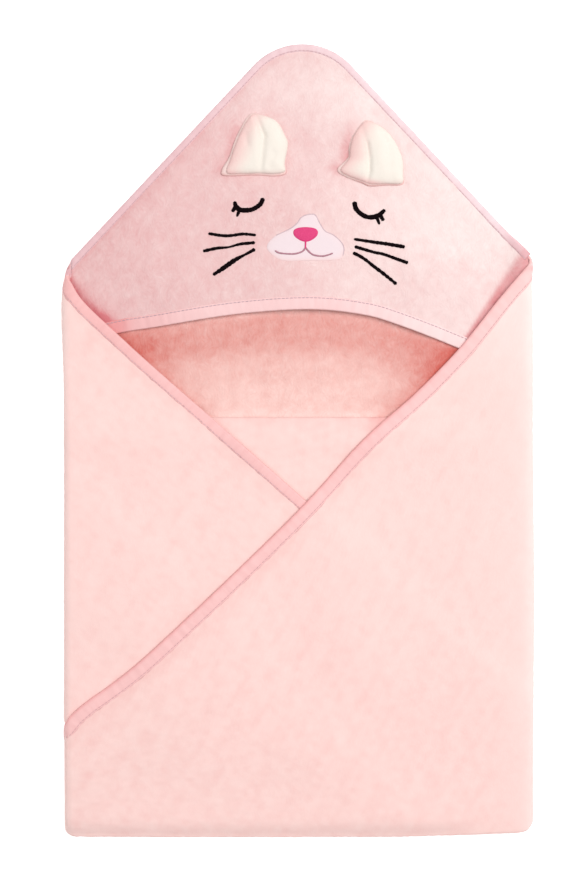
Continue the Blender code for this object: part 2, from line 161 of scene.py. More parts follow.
RIGHT_PLEATS = [
    ([(0.0541, 0.2344), (0.0561, 0.2213), (0.0561, 0.2117), (0.0540, 0.2030)], 0.0022, 0.0020),
    ([(0.0505, 0.2450), (0.0541, 0.2344)], 0.0026, 0.0010),
    ([(0.0650, 0.2460), (0.0697, 0.2364)], 0.0024, 0.0008),
    ([(0.0720, 0.2320), (0.0735, 0.2060)], 0.0034, 0.0006),
]
RIGHT_LOBES = [
    ((0.0490, 0.2300), (0.0050, 0.0140), 0.0006),
    ((0.0650, 0.2260), (0.0070, 0.0160), 0.0014),
]


# ---------------------------------------------------------------- curves and fields


def climb(value, start, width):
    """0 up to start, 1 from start + width on, and smooth between the two."""
    share = np.clip((value - start) / width, 0.0, 1.0)
    return share * share * (3.0 - 2.0 * share)


def bell(value):
    """1 where value is 0, falling away smoothly on both sides."""
    return np.exp(-(value**2))


def between(start, end, count):
    """Evenly spaced values from start to end, both of which may be columns."""
    return start + (end - start) * np.linspace(0.0, 1.0, count)


def as_pair(x, y):
    """x and y as arrays of numbers of one shape."""
    return np.broadcast_arrays(np.asarray(x, float), np.asarray(y, float))


def unit(vectors):
    """Vectors of the same directions that are 1 long."""
    return vectors / np.maximum(np.linalg.norm(vectors, axis=-1, keepdims=True), 1e-12)


def leftward(path):
    """The directions square to a flat path, on its left."""
    tangent = unit(np.gradient(path, axis=0))
    return np.stack([-tangent[:, 1], tangent[:, 0]], axis=1)


def run_along(path):
    """The distance along a path at each of its points."""
    return np.concatenate([[0.0], np.cumsum(np.linalg.norm(np.diff(path, axis=0), axis=1))])


def curve(points, spacing):
    """Points evenly spaced along a Catmull-Rom curve through the given ones."""
    points = np.array(points, float)
    ends = np.vstack([2 * points[0] - points[1], points, 2 * points[-1] - points[-2]])
    t = np.linspace(0.0, 1.0, 24, endpoint=False)[:, None]
    parts = []
    for a, b, c, d in zip(ends, ends[1:], ends[2:], ends[3:]):
        bend = 2 * a - 5 * b + 4 * c - d + t * (3 * (b - c) + d - a)
        parts.append(b + 0.5 * t * (c - a + t * bend))
    return evenly(np.vstack(parts + [points[-1:]]), spacing)


def evenly(path, spacing):
    """A path's points again, evenly spaced along it."""
    run = run_along(path)
    count = max(2, round(run[-1] / spacing) + 1)
    at = np.linspace(0.0, run[-1], count)
    return np.stack([np.interp(at, run, path[:, k]) for k in range(path.shape[1])], axis=1)


def height_of_edge(points):
    """The Y of a bound edge as a function of X."""
    path = curve(points, 0.002)
    return lambda x: np.interp(x, path[:, 0], path[:, 1])


left_edge = height_of_edge(LEFT_EDGE)
right_edge = height_of_edge(RIGHT_EDGE)
mouth_edge = height_of_edge(MOUTH)


def corner_edge(x):
    """The Y of the towel's hood corner: two straight edges and the round between them."""
    away = np.abs(x - CORNER_X)
    slope = math.tan(CORNER_HALF_ANGLE)
    tangent = CORNER_RADIUS * math.cos(CORNER_HALF_ANGLE)
    centre = HALF_LENGTH - CORNER_RADIUS
    shoulder = centre + CORNER_RADIUS * math.sin(CORNER_HALF_ANGLE)
    arc = centre + np.sqrt(np.maximum(CORNER_RADIUS**2 - away**2, 0.0))
    return np.where(away < tangent, arc, shoulder - (away - tangent) / slope)


def bottom_edge(x, recess=0.0):
    """The Y of the bottom fold: straight on the left, lifting a little to the right, with rounded corners."""
    lift = 0.0040 * np.clip((x - 0.03) / 0.145, 0.0, 1.2) ** 2
    half_width, corner = 0.1863, 0.012
    past = np.clip(np.abs(x) - (half_width - corner), 0.0, corner)
    return -HALF_LENGTH + recess + lift + corner - np.sqrt(corner**2 - past**2)


def waves(x, y, wavelength, seed, count=14):
    """A smooth field of about unit height: waves of nearly one length that run all ways."""
    random = np.random.default_rng(seed)
    total = 0.0
    for turn, stretch, phase in random.random((count, 3)):
        number = 2 * math.pi / (wavelength * (0.7 + 0.7 * stretch))
        across = x * math.cos(2 * math.pi * turn) + y * math.sin(2 * math.pi * turn)
        total = total + np.sin(number * across + 2 * math.pi * phase)
    return total / math.sqrt(count / 2)


GRID_STEP = 0.0025
GRID_X = np.arange(-0.2000, 0.2001, GRID_STEP)
GRID_Y = np.arange(-0.3300, 0.3301, GRID_STEP)
PLAN_X, PLAN_Y = np.meshgrid(GRID_X, GRID_Y, indexing="ij")


def height_at(field, x, y):
    """A plan field's value at any place, straight between its points."""
    x, y = as_pair(x, y)
    i = np.clip((x - GRID_X[0]) / GRID_STEP, 0, len(GRID_X) - 1.001)
    j = np.clip((y - GRID_Y[0]) / GRID_STEP, 0, len(GRID_Y) - 1.001)
    a, b = i.astype(int), j.astype(int)
    u, v = i - a, j - b
    low = field[a, b] * (1 - v) + field[a, b + 1] * v
    high = field[a + 1, b] * (1 - v) + field[a + 1, b + 1] * v
    return low * (1 - u) + high * u


def blur(field):
    """A plan field smoothed a little."""
    padded = np.pad(field, 1, mode="edge")
    rows = (padded[:-2] + 2 * padded[1:-1] + padded[2:]) / 4
    return (rows[:, :-2] + 2 * rows[:, 1:-1] + rows[:, 2:]) / 4


def lay(top):
    """The middle of a layer of cloth that lies over whatever reaches up to top."""
    rounds, last_rounds = 36, 3
    resting = top.copy()
    for _ in range(rounds):
        resting = np.maximum(top, blur(resting))
    for _ in range(last_rounds):
        resting = blur(resting)
    return resting + PITCH - CLOTH / 2


# ---------------------------------------------------------------- how the layers lie


def shoulder_rise(x, y):
    """How far the hood climbs at the right shoulder, where it runs up into the right flap's open fold."""
    return SHOULDER_RISE * climb(x, 0.162, 0.018) * climb(y, 0.075, 0.040)


def hood_bulge(x, y):
    """How far the hood stands off the back panel, most at the middle of its mouth."""
    across = np.maximum(0.0, 1.0 - (x / 0.170) ** 2) ** 1.5
    along = np.clip(1.0 - (y - 0.100) / 0.160, 0.0, 1.0) ** 2
    return HOOD_BULGE * across * along


def stack_layers():
    """The middle heights of all the layers in plan, from the back panel up."""
    x, y = PLAN_X, PLAN_Y
    layers = {}
    layers["back"] = BACK + 0.0003 * (1.0 + 0.7 * waves(x, y, 0.110, 11))
    top = layers["back"] + CLOTH / 2

    inset = np.maximum(0.0, corner_edge(x) - y)
    pressed = 0.2 + 0.8 * climb(y, mouth_edge(x), 0.030)
    puff = HOOD_PUFF * climb(inset, 0.0, 0.022) * pressed
    puff = puff + 0.0006 * climb(inset, 0.0, 0.03) * waves(x, y, 0.085, 12)
    layers["hood"] = BACK + PITCH + hood_bulge(x, y) + puff + shoulder_rise(x, y)
    in_hood = (y > mouth_edge(x)) & (y < corner_edge(x))
    top = np.where(in_hood, layers["hood"] + CLOTH / 2, top)

    tip = (y < CREASE) & (y > CREASE - TIP_DEPTH)
    eased = CREASE_DROP * bell(np.maximum(0.0, CREASE - y) / 0.009)
    resting = lay(np.where(tip, top + PITCH, top))
    layers["bottom"] = resting + 0.0003 * (1.0 + waves(x, y, 0.070, 13)) - eased
    top = np.where(y < CREASE, layers["bottom"] + CLOTH / 2, top)

    under = y < SIDE_TOP - (x + FOLD_X)
    top = np.where(under, top + PITCH, top)
    loft = 0.0016 * bell((x + FOLD_X) / 0.035)
    sunk = bell(np.maximum(0.0, y - bottom_edge(x)) / 0.0065)
    resting = lay(top)
    layers["left"] = resting + loft + 0.0004 * (1.0 + waves(x, y, 0.090, 14)) - LEFT_DROP * sunk
    edge_gap = left_edge(x) - y
    tape = 0.0005 * (edge_gap < 0.014)
    top = np.where(edge_gap > 0, layers["left"] + CLOTH / 2 + tape, top)

    under = y < SIDE_TOP - (FOLD_X - x)
    top = np.where(under, top + PITCH, top)
    rise = RIGHT_RISE - RIGHT_SLOPE * (FOLD_X - x)
    rise = np.where(x > FOLD_X, RIGHT_RISE, rise)
    resting = lay(top) + 0.0005 * (1.0 + waves(x, y, 0.095, 15))
    higher = np.maximum(resting, rise)
    softness = 0.0006
    eased = softness * np.exp(-np.abs(resting - rise) / (2 * softness))
    layers["right"] = higher + eased - RIGHT_DROP * sunk * climb(-x, -0.150, 0.045)
    return layers


LAYERS = stack_layers()


def hood_middle(x, y):
    return height_at(LAYERS["hood"], x, y)


def hood_top(x, y):
    return hood_middle(x, y) + CLOTH / 2


def left_reach(y):
    """How far the left fold's middle stands out past FOLD_X."""
    shoulder = 0.0020 * bell((y - 0.100) / 0.045)
    under_tuck = 0.0022 * climb(-y, 0.2205, 0.007)
    corner = 1.0 - 0.45 * climb(y, 0.112, 0.022)
    return (0.0050 + shoulder - under_tuck) * corner


def right_reach(y):
    """How far the right fold's middle stands out past FOLD_X."""
    swell = 0.0011 * bell((y + 0.126) / 0.080)
    shoulder = 0.0008 * climb(y, 0.075, 0.060)
    return 0.0058 + swell - shoulder


class Surface:
    """The middle of a piece of cloth, whose point() takes a place in the cloth's own two directions."""

    sign = 1
    step = 0.0006

    def normal(self, u, v):
        """The direction in which the cloth's inner side faces."""
        across = self.point(u + self.step, v) - self.point(u - self.step, v)
        along = self.point(u, v + self.step) - self.point(u, v - self.step)
        return unit(self.sign * np.cross(across, along))


class FoldedSide(Surface):
    """Cloth that runs out along the back panel, turns over at the towel's side and comes back as a flap.

    A place on it is s, the distance along the cloth from the middle of the back, and y.
    """

    step = 0.0004

    def __init__(self, sign, arc, reach, flap, tucked):
        self.sign = sign
        self.arc = arc
        self.reach = reach
        self.flap = LAYERS[flap]
        self.tucked = tucked

    def flat_of(self, x):
        """The s of a place on the flap."""
        return FOLD_X + self.arc + FOLD_X - self.sign * x

    def plain(self, s, y):
        """The X and Z of a place as if the flap's far end were not tucked in, for a side at +X."""
        beyond = np.maximum(0.0, s - FOLD_X - self.arc)
        angle = np.clip((s - FOLD_X) / self.arc, 0.0, 1.0) * math.pi
        x = np.minimum(s, FOLD_X) + self.reach(y) * np.sin(angle) - beyond
        low = height_at(LAYERS["back"], self.sign * x, y)
        top = height_at(self.flap, self.sign * FOLD_X, y)
        rolled = (low + top) / 2 - (top - low) / 2 * np.cos(angle)
        z = np.where(beyond > 0, height_at(self.flap, self.sign * x, y), rolled)
        return x, z

    def point(self, s, y):
        s, y = as_pair(s, y)
        x, z = self.plain(s, y)
        if self.tucked:
            past = s - FOLD_X - self.arc - FOLD_X - TUCK_X
            angle = np.clip(past / TUCK_ARC, 0.0, TUCK_TURN) * math.pi / 2
            start = height_at(self.flap, -self.sign * TUCK_X, y)
            x = np.where(past > 0, -TUCK_X - TUCK_REACH * np.sin(angle), x)
            z = np.where(past > 0, start - TUCK_DROP * (1 - np.cos(angle)), z)
        return np.stack([self.sign * x, y, z], axis=-1)


class HoodSurface(Surface):
    """The hood panel, whose places are simply x and y."""

    def point(self, x, y):
        x, y = as_pair(x, y)
        return np.stack([x, y, hood_middle(x, y)], axis=-1)


LEFT = FoldedSide(-1, LEFT_ARC, left_reach, "left", tucked=False)
RIGHT = FoldedSide(1, RIGHT_ARC, right_reach, "right", tucked=True)
HOOD = HoodSurface()


def bound_edge(side, s):
    """The Y of the cloth's bound edge at s: along the hood's corner, over the fold and down the flap."""
    edge = left_edge if side is LEFT else right_edge
    over = (s - FOLD_X) / side.arc
    before = corner_edge(side.sign * np.minimum(s, FOLD_X))
    after = edge(side.sign * (FOLD_X - np.maximum(0.0, s - FOLD_X - side.arc)))
    return before + (after - before) * np.clip(over, 0.0, 1.0)


# ---------------------------------------------------------------- meshes


def add_object(name, data):
    """A new object in the scene."""
    obj = bpy.data.objects.new(name, data)
    bpy.context.scene.collection.objects.link(obj)
    return obj


def make_object(name, points, faces, uv, material_index=None):
    """A mesh with UVs, none of whose points is lower than what the towel lies on."""
    mesh = bpy.data.meshes.new(name)
    points = np.column_stack([points[:, :2], np.maximum(points[:, 2], 0.0)])
    mesh.from_pydata(points.tolist(), [], faces)
    corners = np.empty(len(mesh.loops), np.int32)
    mesh.loops.foreach_get("vertex_index", corners)
    layer = mesh.uv_layers.new(name="cloth")
    layer.data.foreach_set("uv", uv[corners].astype(np.float32).reshape(-1))
    if material_index is not None:
        mesh.polygons.foreach_set("material_index", material_index.astype(np.int32))
    mesh.shade_smooth()
    mesh.update()
    return add_object(name, mesh)


def close_form(obj, near=1e-6):
    """Joins a form's points that are nearer than that to each other, and fills its open ends."""
    work = bmesh.new()
    work.from_mesh(obj.data)
    bmesh.ops.remove_doubles(work, verts=work.verts, dist=near)
    open_edges = [edge for edge in work.edges if edge.is_boundary]
    bmesh.ops.holes_fill(work, edges=open_edges, sides=0)
    bmesh.ops.recalc_face_normals(work, faces=work.faces)
    work.to_mesh(obj.data)
    work.free()
    obj.data.shade_smooth()


def places(obj):
    """The X and the Y of a piece's points."""
    points = np.empty(3 * len(obj.data.vertices), np.float32)
    obj.data.vertices.foreach_get("co", points)
    return points[0::3].astype(float), points[1::3].astype(float)


def paint(obj, values):
    """Gives a piece's points the painted shading and tint that its material reads, from -1 at the palest,
    painted light, to 1 at the deepest, painted shade or a deeper tint.
    """
    layer = obj.data.attributes.new("nap", "FLOAT", "POINT")
    layer.data.foreach_set("value", np.asarray(values, np.float32).reshape(-1))


def quads(first, rows, columns, reverse=False):
    """Faces of a grid of points whose numbers start at first and run row by row."""
    i, j = np.meshgrid(np.arange(rows - 1), np.arange(columns - 1), indexing="ij")
    a = (first + i * columns + j).reshape(-1)
    faces = np.stack([a, a + columns, a + columns + 1, a + 1], axis=1)
    return faces[:, ::-1] if reverse else faces


def cloth_shell(name, mid, uv, inner_is_plus, reliefs, painted_shadings, seed, thickness=CLOTH):
    """A closed sheet of plush about a grid of middle points.

    Its inner and its outer side have a pile relief, a painted shading and tint, and a material each.
    """
    rows, columns = mid.shape[:2]
    normals = unit(np.cross(np.gradient(mid, axis=0), np.gradient(mid, axis=1)))
    u, v = uv[..., 0], uv[..., 1]
    i, j = np.indices((rows, columns))
    fading_rows, tuft, clump = 3.0, 0.0062, 0.018
    fade = np.min([i, rows - 1 - i, j, columns - 1 - j], axis=0) / fading_rows
    raised = []
    for side, amount in enumerate(reliefs):
        tufts = waves(u, v, tuft, seed + side) + 0.5 * waves(u, v, clump, seed + 10 + side)
        raised.append(amount * tufts * np.clip(fade, 0.0, 1.0))
    plus, minus = raised if inner_is_plus else raised[::-1]
    half = np.broadcast_to(thickness, (rows, columns)) / 2
    upper = mid + normals * (half + plus)[..., None]
    lower = mid - normals * (half + minus)[..., None]
    count = rows * columns
    points = np.concatenate([upper.reshape(-1, 3), lower.reshape(-1, 3)])
    index = np.arange(count).reshape(rows, columns)
    rims = []
    for line in (index[:, 0][::-1], index[-1][::-1], index[:, -1], index[0]):
        a, b = line[:-1], line[1:]
        rims.append(np.stack([a, b, b + count, a + count], axis=1))
    rims = np.concatenate(rims)
    top_faces = quads(0, rows, columns)
    low_faces = quads(count, rows, columns, reverse=True)
    faces = np.concatenate([top_faces, low_faces, rims])
    plus_slot = 0 if inner_is_plus else 1
    slots = np.repeat([plus_slot, 1 - plus_slot, 1], [len(top_faces), len(low_faces), len(rims)])
    flat = np.concatenate([uv.reshape(-1, 2), uv.reshape(-1, 2)])
    obj = make_object(name, points, faces.tolist(), flat, slots)
    on_sides = [nap(mid[..., 0], mid[..., 1]).reshape(-1) for nap in painted_shadings]
    paint(obj, np.concatenate(on_sides if inner_is_plus else on_sides[::-1]))
    return obj


def flat_grid(across, along):
    """Places in the flat cloth for a grid each of whose rows keeps one place across."""
    return np.stack([np.broadcast_to(across[:, None], along.shape), along], axis=-1)


# ---------------------------------------------------------------- painted light and shade


def distance_to(path, x, y):
    """The distance from each place to the nearest part of a path."""
    best = np.full(np.shape(x), 1.0)
    for a, b in zip(path, path[1:]):
        a, b = np.array(a), np.array(b)
        along = b - a
        t = np.clip(((x - a[0]) * along[0] + (y - a[1]) * along[1]) / (along @ along), 0.0, 1.0)
        best = np.minimum(best, np.hypot(x - a[0] - t * along[0], y - a[1] - t * along[1]))
    return best


def mottle(x, y, amount, seed):
    """A faint cloudiness of the pile."""
    return amount * (waves(x, y, 0.024, seed) + waves(x, y, 0.010, seed + 1))


def hood_painted_shading(x, y):
    """Painted shade: deeper pink to the left, for the light that comes from the right, along the corner seam
    and where the flaps and ears shade the hood; also deeper at the lower right, paler towards the top, and
    faintly cloudy.
    """
    nap = np.interp(x, [-0.15, -0.05, 0.0, 0.05, 0.12], [0.45, 0.37, 0.31, 0.14, -0.01])
    nap += mottle(x, y, 0.018, 31) - 0.14 * climb(y, 0.230, 0.05)
    nap += 0.14 * climb(-y, -0.165, 0.045) * climb(x, 0.040, 0.050)
    seam = (corner_edge(x) - y) * math.cos(CORNER_HALF_ANGLE)
    nap += 0.14 * np.exp(-np.abs(seam - 0.006) / 0.005) * (1.0 - 0.8 * climb(x, 0.0, 0.10))
    right = np.maximum(0.0, y - right_edge(x)) * 0.65
    width = 0.0036 + 0.0080 * np.clip((y - 0.085) / 0.062, 0.0, 1.0)
    under = bell(np.maximum(0.0, right_edge(x) - y) / 0.007)
    nap += 0.62 * under * (1.0 - climb(right / width, 0.50, 0.70)) * (x > 0.05)
    left = np.maximum(0.0, y - left_edge(x)) * 0.70
    nap += 0.50 * bell(left / 0.0050) * (x < -0.05)
    nap += 0.55 * np.exp(-((left / 0.0080) ** 2) - ((x + 0.142) / 0.014) ** 2)
    for outline, strength in ((LEFT_EAR, 0.20), (RIGHT_EAR, 0.42)):
        middle = np.mean([point[0] for point in outline])
        beside = climb(middle - 0.010, x, 0.010) * climb(y, 0.205, 0.012)
        nap += strength * beside * bell(distance_to(outline, x, y) / 0.0065)
    return nap


def pocket_painted_shading(x, y):
    """Painted shade: deepest in the hood's opening just under its mouth, more in its corners and beside the
    flaps' edges, and plain from some way down; painted light along the crease; faded out to the right, under
    the right flap; faintly cloudy.
    """
    below = mouth_edge(x) - y
    depth = [-0.020, 0.0, 0.004, 0.010, 0.024, 0.044, 0.071, 0.095]
    nap = np.interp(below, depth, [0.24, 0.28, 0.46, 0.56, 0.52, 0.22, 0.09, 0.0])
    in_corner = climb(-x, 0.070, 0.055) * 0.22 + climb(x, 0.060, 0.045) * 0.16
    for edge, side, strength, reach in ((right_edge, x, 0.46, 0.011), (left_edge, -x, 0.26, 0.010)):
        beside, under = np.maximum(0.0, y - edge(x)) * 0.70, np.maximum(0.0, edge(x) - y)
        shade = np.exp(-beside / reach - (under / 0.007) ** 2)
        nap += strength * shade * climb(side, 0.035, 0.040)
    nap += in_corner * np.exp(-np.maximum(below, 0.0) / 0.030) + mottle(x, y, 0.022, 33)
    nap -= 0.14 * bell((y - CREASE) / 0.006)
    return nap * (1.0 - climb(x, 0.132, 0.028))


def flap_painted_shading(x, y):
    """Painted light: palest along the towel's right side and at the right shoulder, with a painted pale rim
    on the left; a little deeper beside the tapes and towards the bottom, and faintly cloudy.
    """
    nap = mottle(x, y, 0.020, 35) - 0.36 * np.exp(-np.maximum(0.1865 - x, 0.0) / 0.0110)
    nap += 0.03 * climb(-y, 0.10, 0.15) - 0.40 * np.exp(-np.maximum(x + 0.1865, 0.0) / 0.0030)
    nap -= 0.24 * climb(y, 0.020, 0.100) * climb(x, 0.080, 0.080)
    far = 1.0
    past_right = np.where(right_edge(x) > y, (right_edge(x) - y) * 0.68 - RIGHT_TAPE, far)
    past_left = np.where(left_edge(x) > y, (left_edge(x) - y) * 0.70 - LEFT_TAPE, far)
    nap += 0.10 * bell(past_right / 0.008) * (1.0 - climb(x, 0.020, 0.080))
    nap += 0.07 * bell(past_left / 0.008) * climb(-x, 0.002, 0.012)
    return np.maximum(nap, -0.44)


def crease_painted_shading(x, y):
    """The bottom flap: a soft painted shade along its crease, deepest near the right flap."""
    under = np.exp(-np.maximum(CREASE - y, 0.0) / 0.010)
    return mottle(x, y, 0.020, 37) + under * (0.10 + 0.35 * bell((x - 0.068) / 0.012))


# ---------------------------------------------------------------- materials


class Nodes:
    """A short way to write a node tree."""

    def __init__(self, name):
        self.material = bpy.data.materials.new(name)
        self.material.use_nodes = True
        self.tree = self.material.node_tree
        self.shader = self.tree.nodes["Principled BSDF"]

    def add(self, kind, inputs=None, **settings):
        node = self.tree.nodes.new(kind)
        for name, value in settings.items():
            setattr(node, name, value)
        for name, value in (inputs or {}).items():
            self.put(value, node.inputs[name])
        return node

    def put(self, value, socket):
        if isinstance(value, bpy.types.NodeSocket):
            self.tree.links.new(value, socket)
        elif hasattr(value, "__len__") and len(value) == 3 and socket.type == "RGBA":
            socket.default_value = (*value, 1.0)
        else:
            socket.default_value = value

    def math(self, operation, a, b=0.0):
        node = self.add("ShaderNodeMath", operation=operation)
        self.put(a, node.inputs[0])
        self.put(b, node.inputs[1])
        return node.outputs[0]

    def mix(self, factor, a, b):
        node = self.add("ShaderNodeMix", data_type="RGBA")
        self.put(factor, node.inputs["Factor"])
        self.put(a, node.inputs[6])
        self.put(b, node.inputs[7])
        return node.outputs[2]

    def noise(self, vector, scale, detail=2.0, roughness=0.5, distortion=0.0):
        inputs = {"Vector": vector, "Scale": scale, "Detail": detail}
        inputs |= {"Roughness": roughness, "Distortion": distortion}
        return self.add("ShaderNodeTexNoise", inputs).outputs["Fac"]

    def cloth_uv(self):
        return self.add("ShaderNodeUVMap", uv_map="cloth").outputs["UV"]

    def scaled(self, vector, scale):
        return self.add("ShaderNodeMapping", {"Vector": vector, "Scale": scale}).outputs["Vector"]

    def ramp(self, value, low, high):
        """value stretched so that low becomes 0 and high becomes 1."""
        inputs = {"Value": value, "From Min": low, "From Max": high}
        return self.add("ShaderNodeMapRange", inputs, clamp=True).outputs["Result"]

    def with_painted_shading(self, colour, deep, pale, tip=0.58):
        """colour, drawn towards deep by the piece's painted shade and towards pale by its painted light, and
        more so between the pile's tips.
        """
        nap = self.add("ShaderNodeAttribute", attribute_name="nap").outputs["Fac"]
        nap = self.math("MULTIPLY", nap, self.math("SUBTRACT", 1.20, self.math("MULTIPLY", tip, 0.35)))
        deeper = self.mix(self.ramp(nap, 0.0, 1.0), colour, deep)
        return self.mix(self.ramp(nap, 0.0, -1.0), deeper, pale)

    def bump(self, height, distance, strength):
        inputs = {"Height": height, "Distance": distance, "Strength": strength}
        return self.add("ShaderNodeBump", inputs).outputs["Normal"]

    def finish(self, colour, normal, roughness, sheen=0.0, tint=(1.0, 1.0, 1.0), specular=0.25):
        self.put(colour, self.shader.inputs["Base Color"])
        self.put(normal, self.shader.inputs["Normal"])
        self.put(roughness, self.shader.inputs["Roughness"])
        self.shader.inputs["Sheen Weight"].default_value = sheen
        self.shader.inputs["Sheen Roughness"].default_value = 0.45
        self.shader.inputs["Sheen Tint"].default_value = (*tint, 1.0)
        self.shader.inputs["Specular IOR Level"].default_value = specular
        return self.material


# Colours that painted shade and painted light draw a plush or tape towards.
PAINTED_SHADE_PINK = (0.640, 0.130, 0.130)
PAINTED_LIGHT_PINK = (0.880, 0.790, 0.760)


def plush(name, tips, roots, strokes, relief, deep=PAINTED_SHADE_PINK):
    """Short pile: soft tufts, strokes of brushed fibre that run many ways, and a fine fuzz."""
    nodes = Nodes(name)
    uv = nodes.cloth_uv()
    drift = nodes.add("ShaderNodeTexNoise", {"Vector": uv, "Scale": 55.0, "Detail": 1.0}).outputs["Color"]
    turned = nodes.scaled(drift, (0.018, 0.018, 0.018))
    swept = nodes.add("ShaderNodeVectorMath", {0: uv, 1: turned}, operation="ADD").outputs["Vector"]
    combed = nodes.scaled(swept, (680.0, 290.0, 1.0))
    fibre = nodes.noise(combed, 1.0, 3.0, 0.6)
    tuft = nodes.noise(uv, 150.0, 3.0, 0.55, 0.4)
    fuzz = nodes.noise(uv, 1900.0, 2.0, 0.6)
    cloud = nodes.noise(uv, 17.0, 2.0, 0.5)
    tufts, fuzziness = 0.32, 0.12
    pile = nodes.math("ADD", nodes.math("MULTIPLY", fibre, strokes), nodes.math("MULTIPLY", tuft, tufts))
    pile = nodes.math("ADD", pile, nodes.math("MULTIPLY", fuzz, fuzziness))
    middle = (strokes + tufts + fuzziness) / 2
    shade = nodes.ramp(pile, middle - 0.22, middle + 0.16)
    colour = nodes.mix(shade, roots, tips)
    warm = tuple(channel * factor for channel, factor in zip(tips, (0.985, 0.965, 0.960)))
    colour = nodes.mix(nodes.math("MULTIPLY", nodes.ramp(cloud, 0.35, 0.70), 0.6), colour, warm)
    colour = nodes.with_painted_shading(colour, deep, PAINTED_LIGHT_PINK, shade)
    normal = nodes.bump(pile, 0.0016, relief)
    return nodes.finish(colour, normal, 0.95, sheen=0.25, tint=(1.0, 0.93, 0.92))


def tape(name, colour, shade, deep=PAINTED_SHADE_PINK):
    """Satin edge tape: a fine rib across it and a slight gloss."""
    nodes = Nodes(name)
    uv = nodes.cloth_uv()
    ribbed = nodes.scaled(uv, (1.0, 0.25, 1.0))
    wave = {"Vector": ribbed, "Scale": 430.0, "Distortion": 1.2, "Detail": 1.0}
    ribs = nodes.add("ShaderNodeTexWave", wave)
    pucker = nodes.noise(ribbed, 210.0, 2.0, 0.5)
    height = nodes.math("ADD", nodes.math("MULTIPLY", ribs.outputs["Fac"], 0.12), pucker)
    painted = nodes.with_painted_shading(nodes.mix(nodes.ramp(pucker, 0.25, 0.70), shade, colour), deep, PAINTED_LIGHT_PINK)
    normal = nodes.bump(height, 0.0008, 0.35)
    return nodes.finish(painted, normal, 0.62, sheen=0.10)


def satin(name, colour, shade, roughness=0.5, specular=0.25):
    """Satin stitch: threads laid side by side across the line."""
    nodes = Nodes(name)
    uv = nodes.cloth_uv()
    pitch = 0.00045
    scale = 1.0 / pitch / 20.0 * math.pi
    wave = {"Vector": uv, "Scale": scale, "Distortion": 0.8, "Detail": 1.0}
    threads = nodes.add("ShaderNodeTexWave", wave)
    lumps = nodes.noise(uv, 900.0, 2.0, 0.5)
    painted = nodes.mix(nodes.ramp(lumps, 0.3, 0.7), shade, colour)
    height = nodes.math("ADD", threads.outputs["Fac"], nodes.math("MULTIPLY", lumps, 0.5))
    normal = nodes.bump(height, 0.00025, 0.7)
    return nodes.finish(painted, normal, roughness, specular=specular)


# The colour that painted shade draws the hood and its corner tape towards.
HOOD_PAINTED_SHADE = (0.575, 0.175, 0.190)
HOOD_PLUSH = plush(
    "hood_plush", (0.832, 0.705, 0.684), (0.766, 0.582, 0.560), 0.50, 0.55, deep=HOOD_PAINTED_SHADE
)
# The colour that painted shade draws the inner plush towards, in the hood's opening and on the flaps.
INNER_PAINTED_SHADE = (0.560, 0.125, 0.100)
INNER_PLUSH = plush(
    "inner_plush", (0.862, 0.614, 0.570), (0.778, 0.456, 0.412), 0.50, 0.60, deep=INNER_PAINTED_SHADE
)
OUTER_PLUSH = plush("outer_plush", (0.860, 0.622, 0.588), (0.830, 0.555, 0.520), 0.30, 0.30)
EAR_BLUSH = (0.800, 0.510, 0.490)
IVORY_PLUSH = plush(
    "ivory_plush", (0.785, 0.735, 0.665), (0.745, 0.685, 0.615), 0.40, 0.22, deep=EAR_BLUSH
)
EAR_PINK = plush("ear_pink_plush", (0.820, 0.650, 0.615), (0.780, 0.580, 0.545), 0.35, 0.30)
FLAP_TAPE = tape("flap_tape", (0.832, 0.508, 0.496), (0.797, 0.463, 0.453))
CORNER_TAPE = tape("corner_tape", (0.780, 0.615, 0.635), (0.740, 0.550, 0.575), deep=HOOD_PAINTED_SHADE)
MOUTH_TAPE_CLOTH = tape("mouth_tape", (0.825, 0.590, 0.583), (0.795, 0.550, 0.545))
FLAP_THREAD = satin("flap_thread", (0.750, 0.475, 0.480), (0.690, 0.415, 0.425))
CORNER_THREAD = satin("corner_thread", (0.700, 0.470, 0.490), (0.640, 0.410, 0.430))
MOUTH_THREAD = satin("mouth_thread", (0.560, 0.400, 0.450), (0.500, 0.345, 0.395))
BLACK_THREAD = satin(
    "black_thread", (0.006, 0.002, 0.003), (0.003, 0.001, 0.002), roughness=0.8, specular=0.05
)
NOSE_THREAD = satin("nose_thread", (0.730, 0.068, 0.215), (0.640, 0.050, 0.175), specular=0.12)
MAUVE_THREAD = satin("mauve_thread", (0.480, 0.240, 0.290), (0.400, 0.190, 0.240))
HOOD_BLEND = (0.790, 0.580, 0.570)
PALE_APPLIQUE = plush(
    "pale_applique", (0.765, 0.655, 0.680), (0.735, 0.615, 0.640), 0.20, 0.20, deep=HOOD_BLEND
)
EDGE_THREAD = satin("muzzle_edge_thread", (0.640, 0.500, 0.530), (0.580, 0.440, 0.470))


def finish_piece(obj, materials, body=None, replaces=()):
    """Gives a piece its materials, the body it moves with and the CAD nodes it replaces."""
    for material in materials:
        obj.data.materials.append(material)
    if body:
        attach(obj, body)
    if replaces:
        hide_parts(*replaces)
    return obj


# ---------------------------------------------------------------- cloth pieces


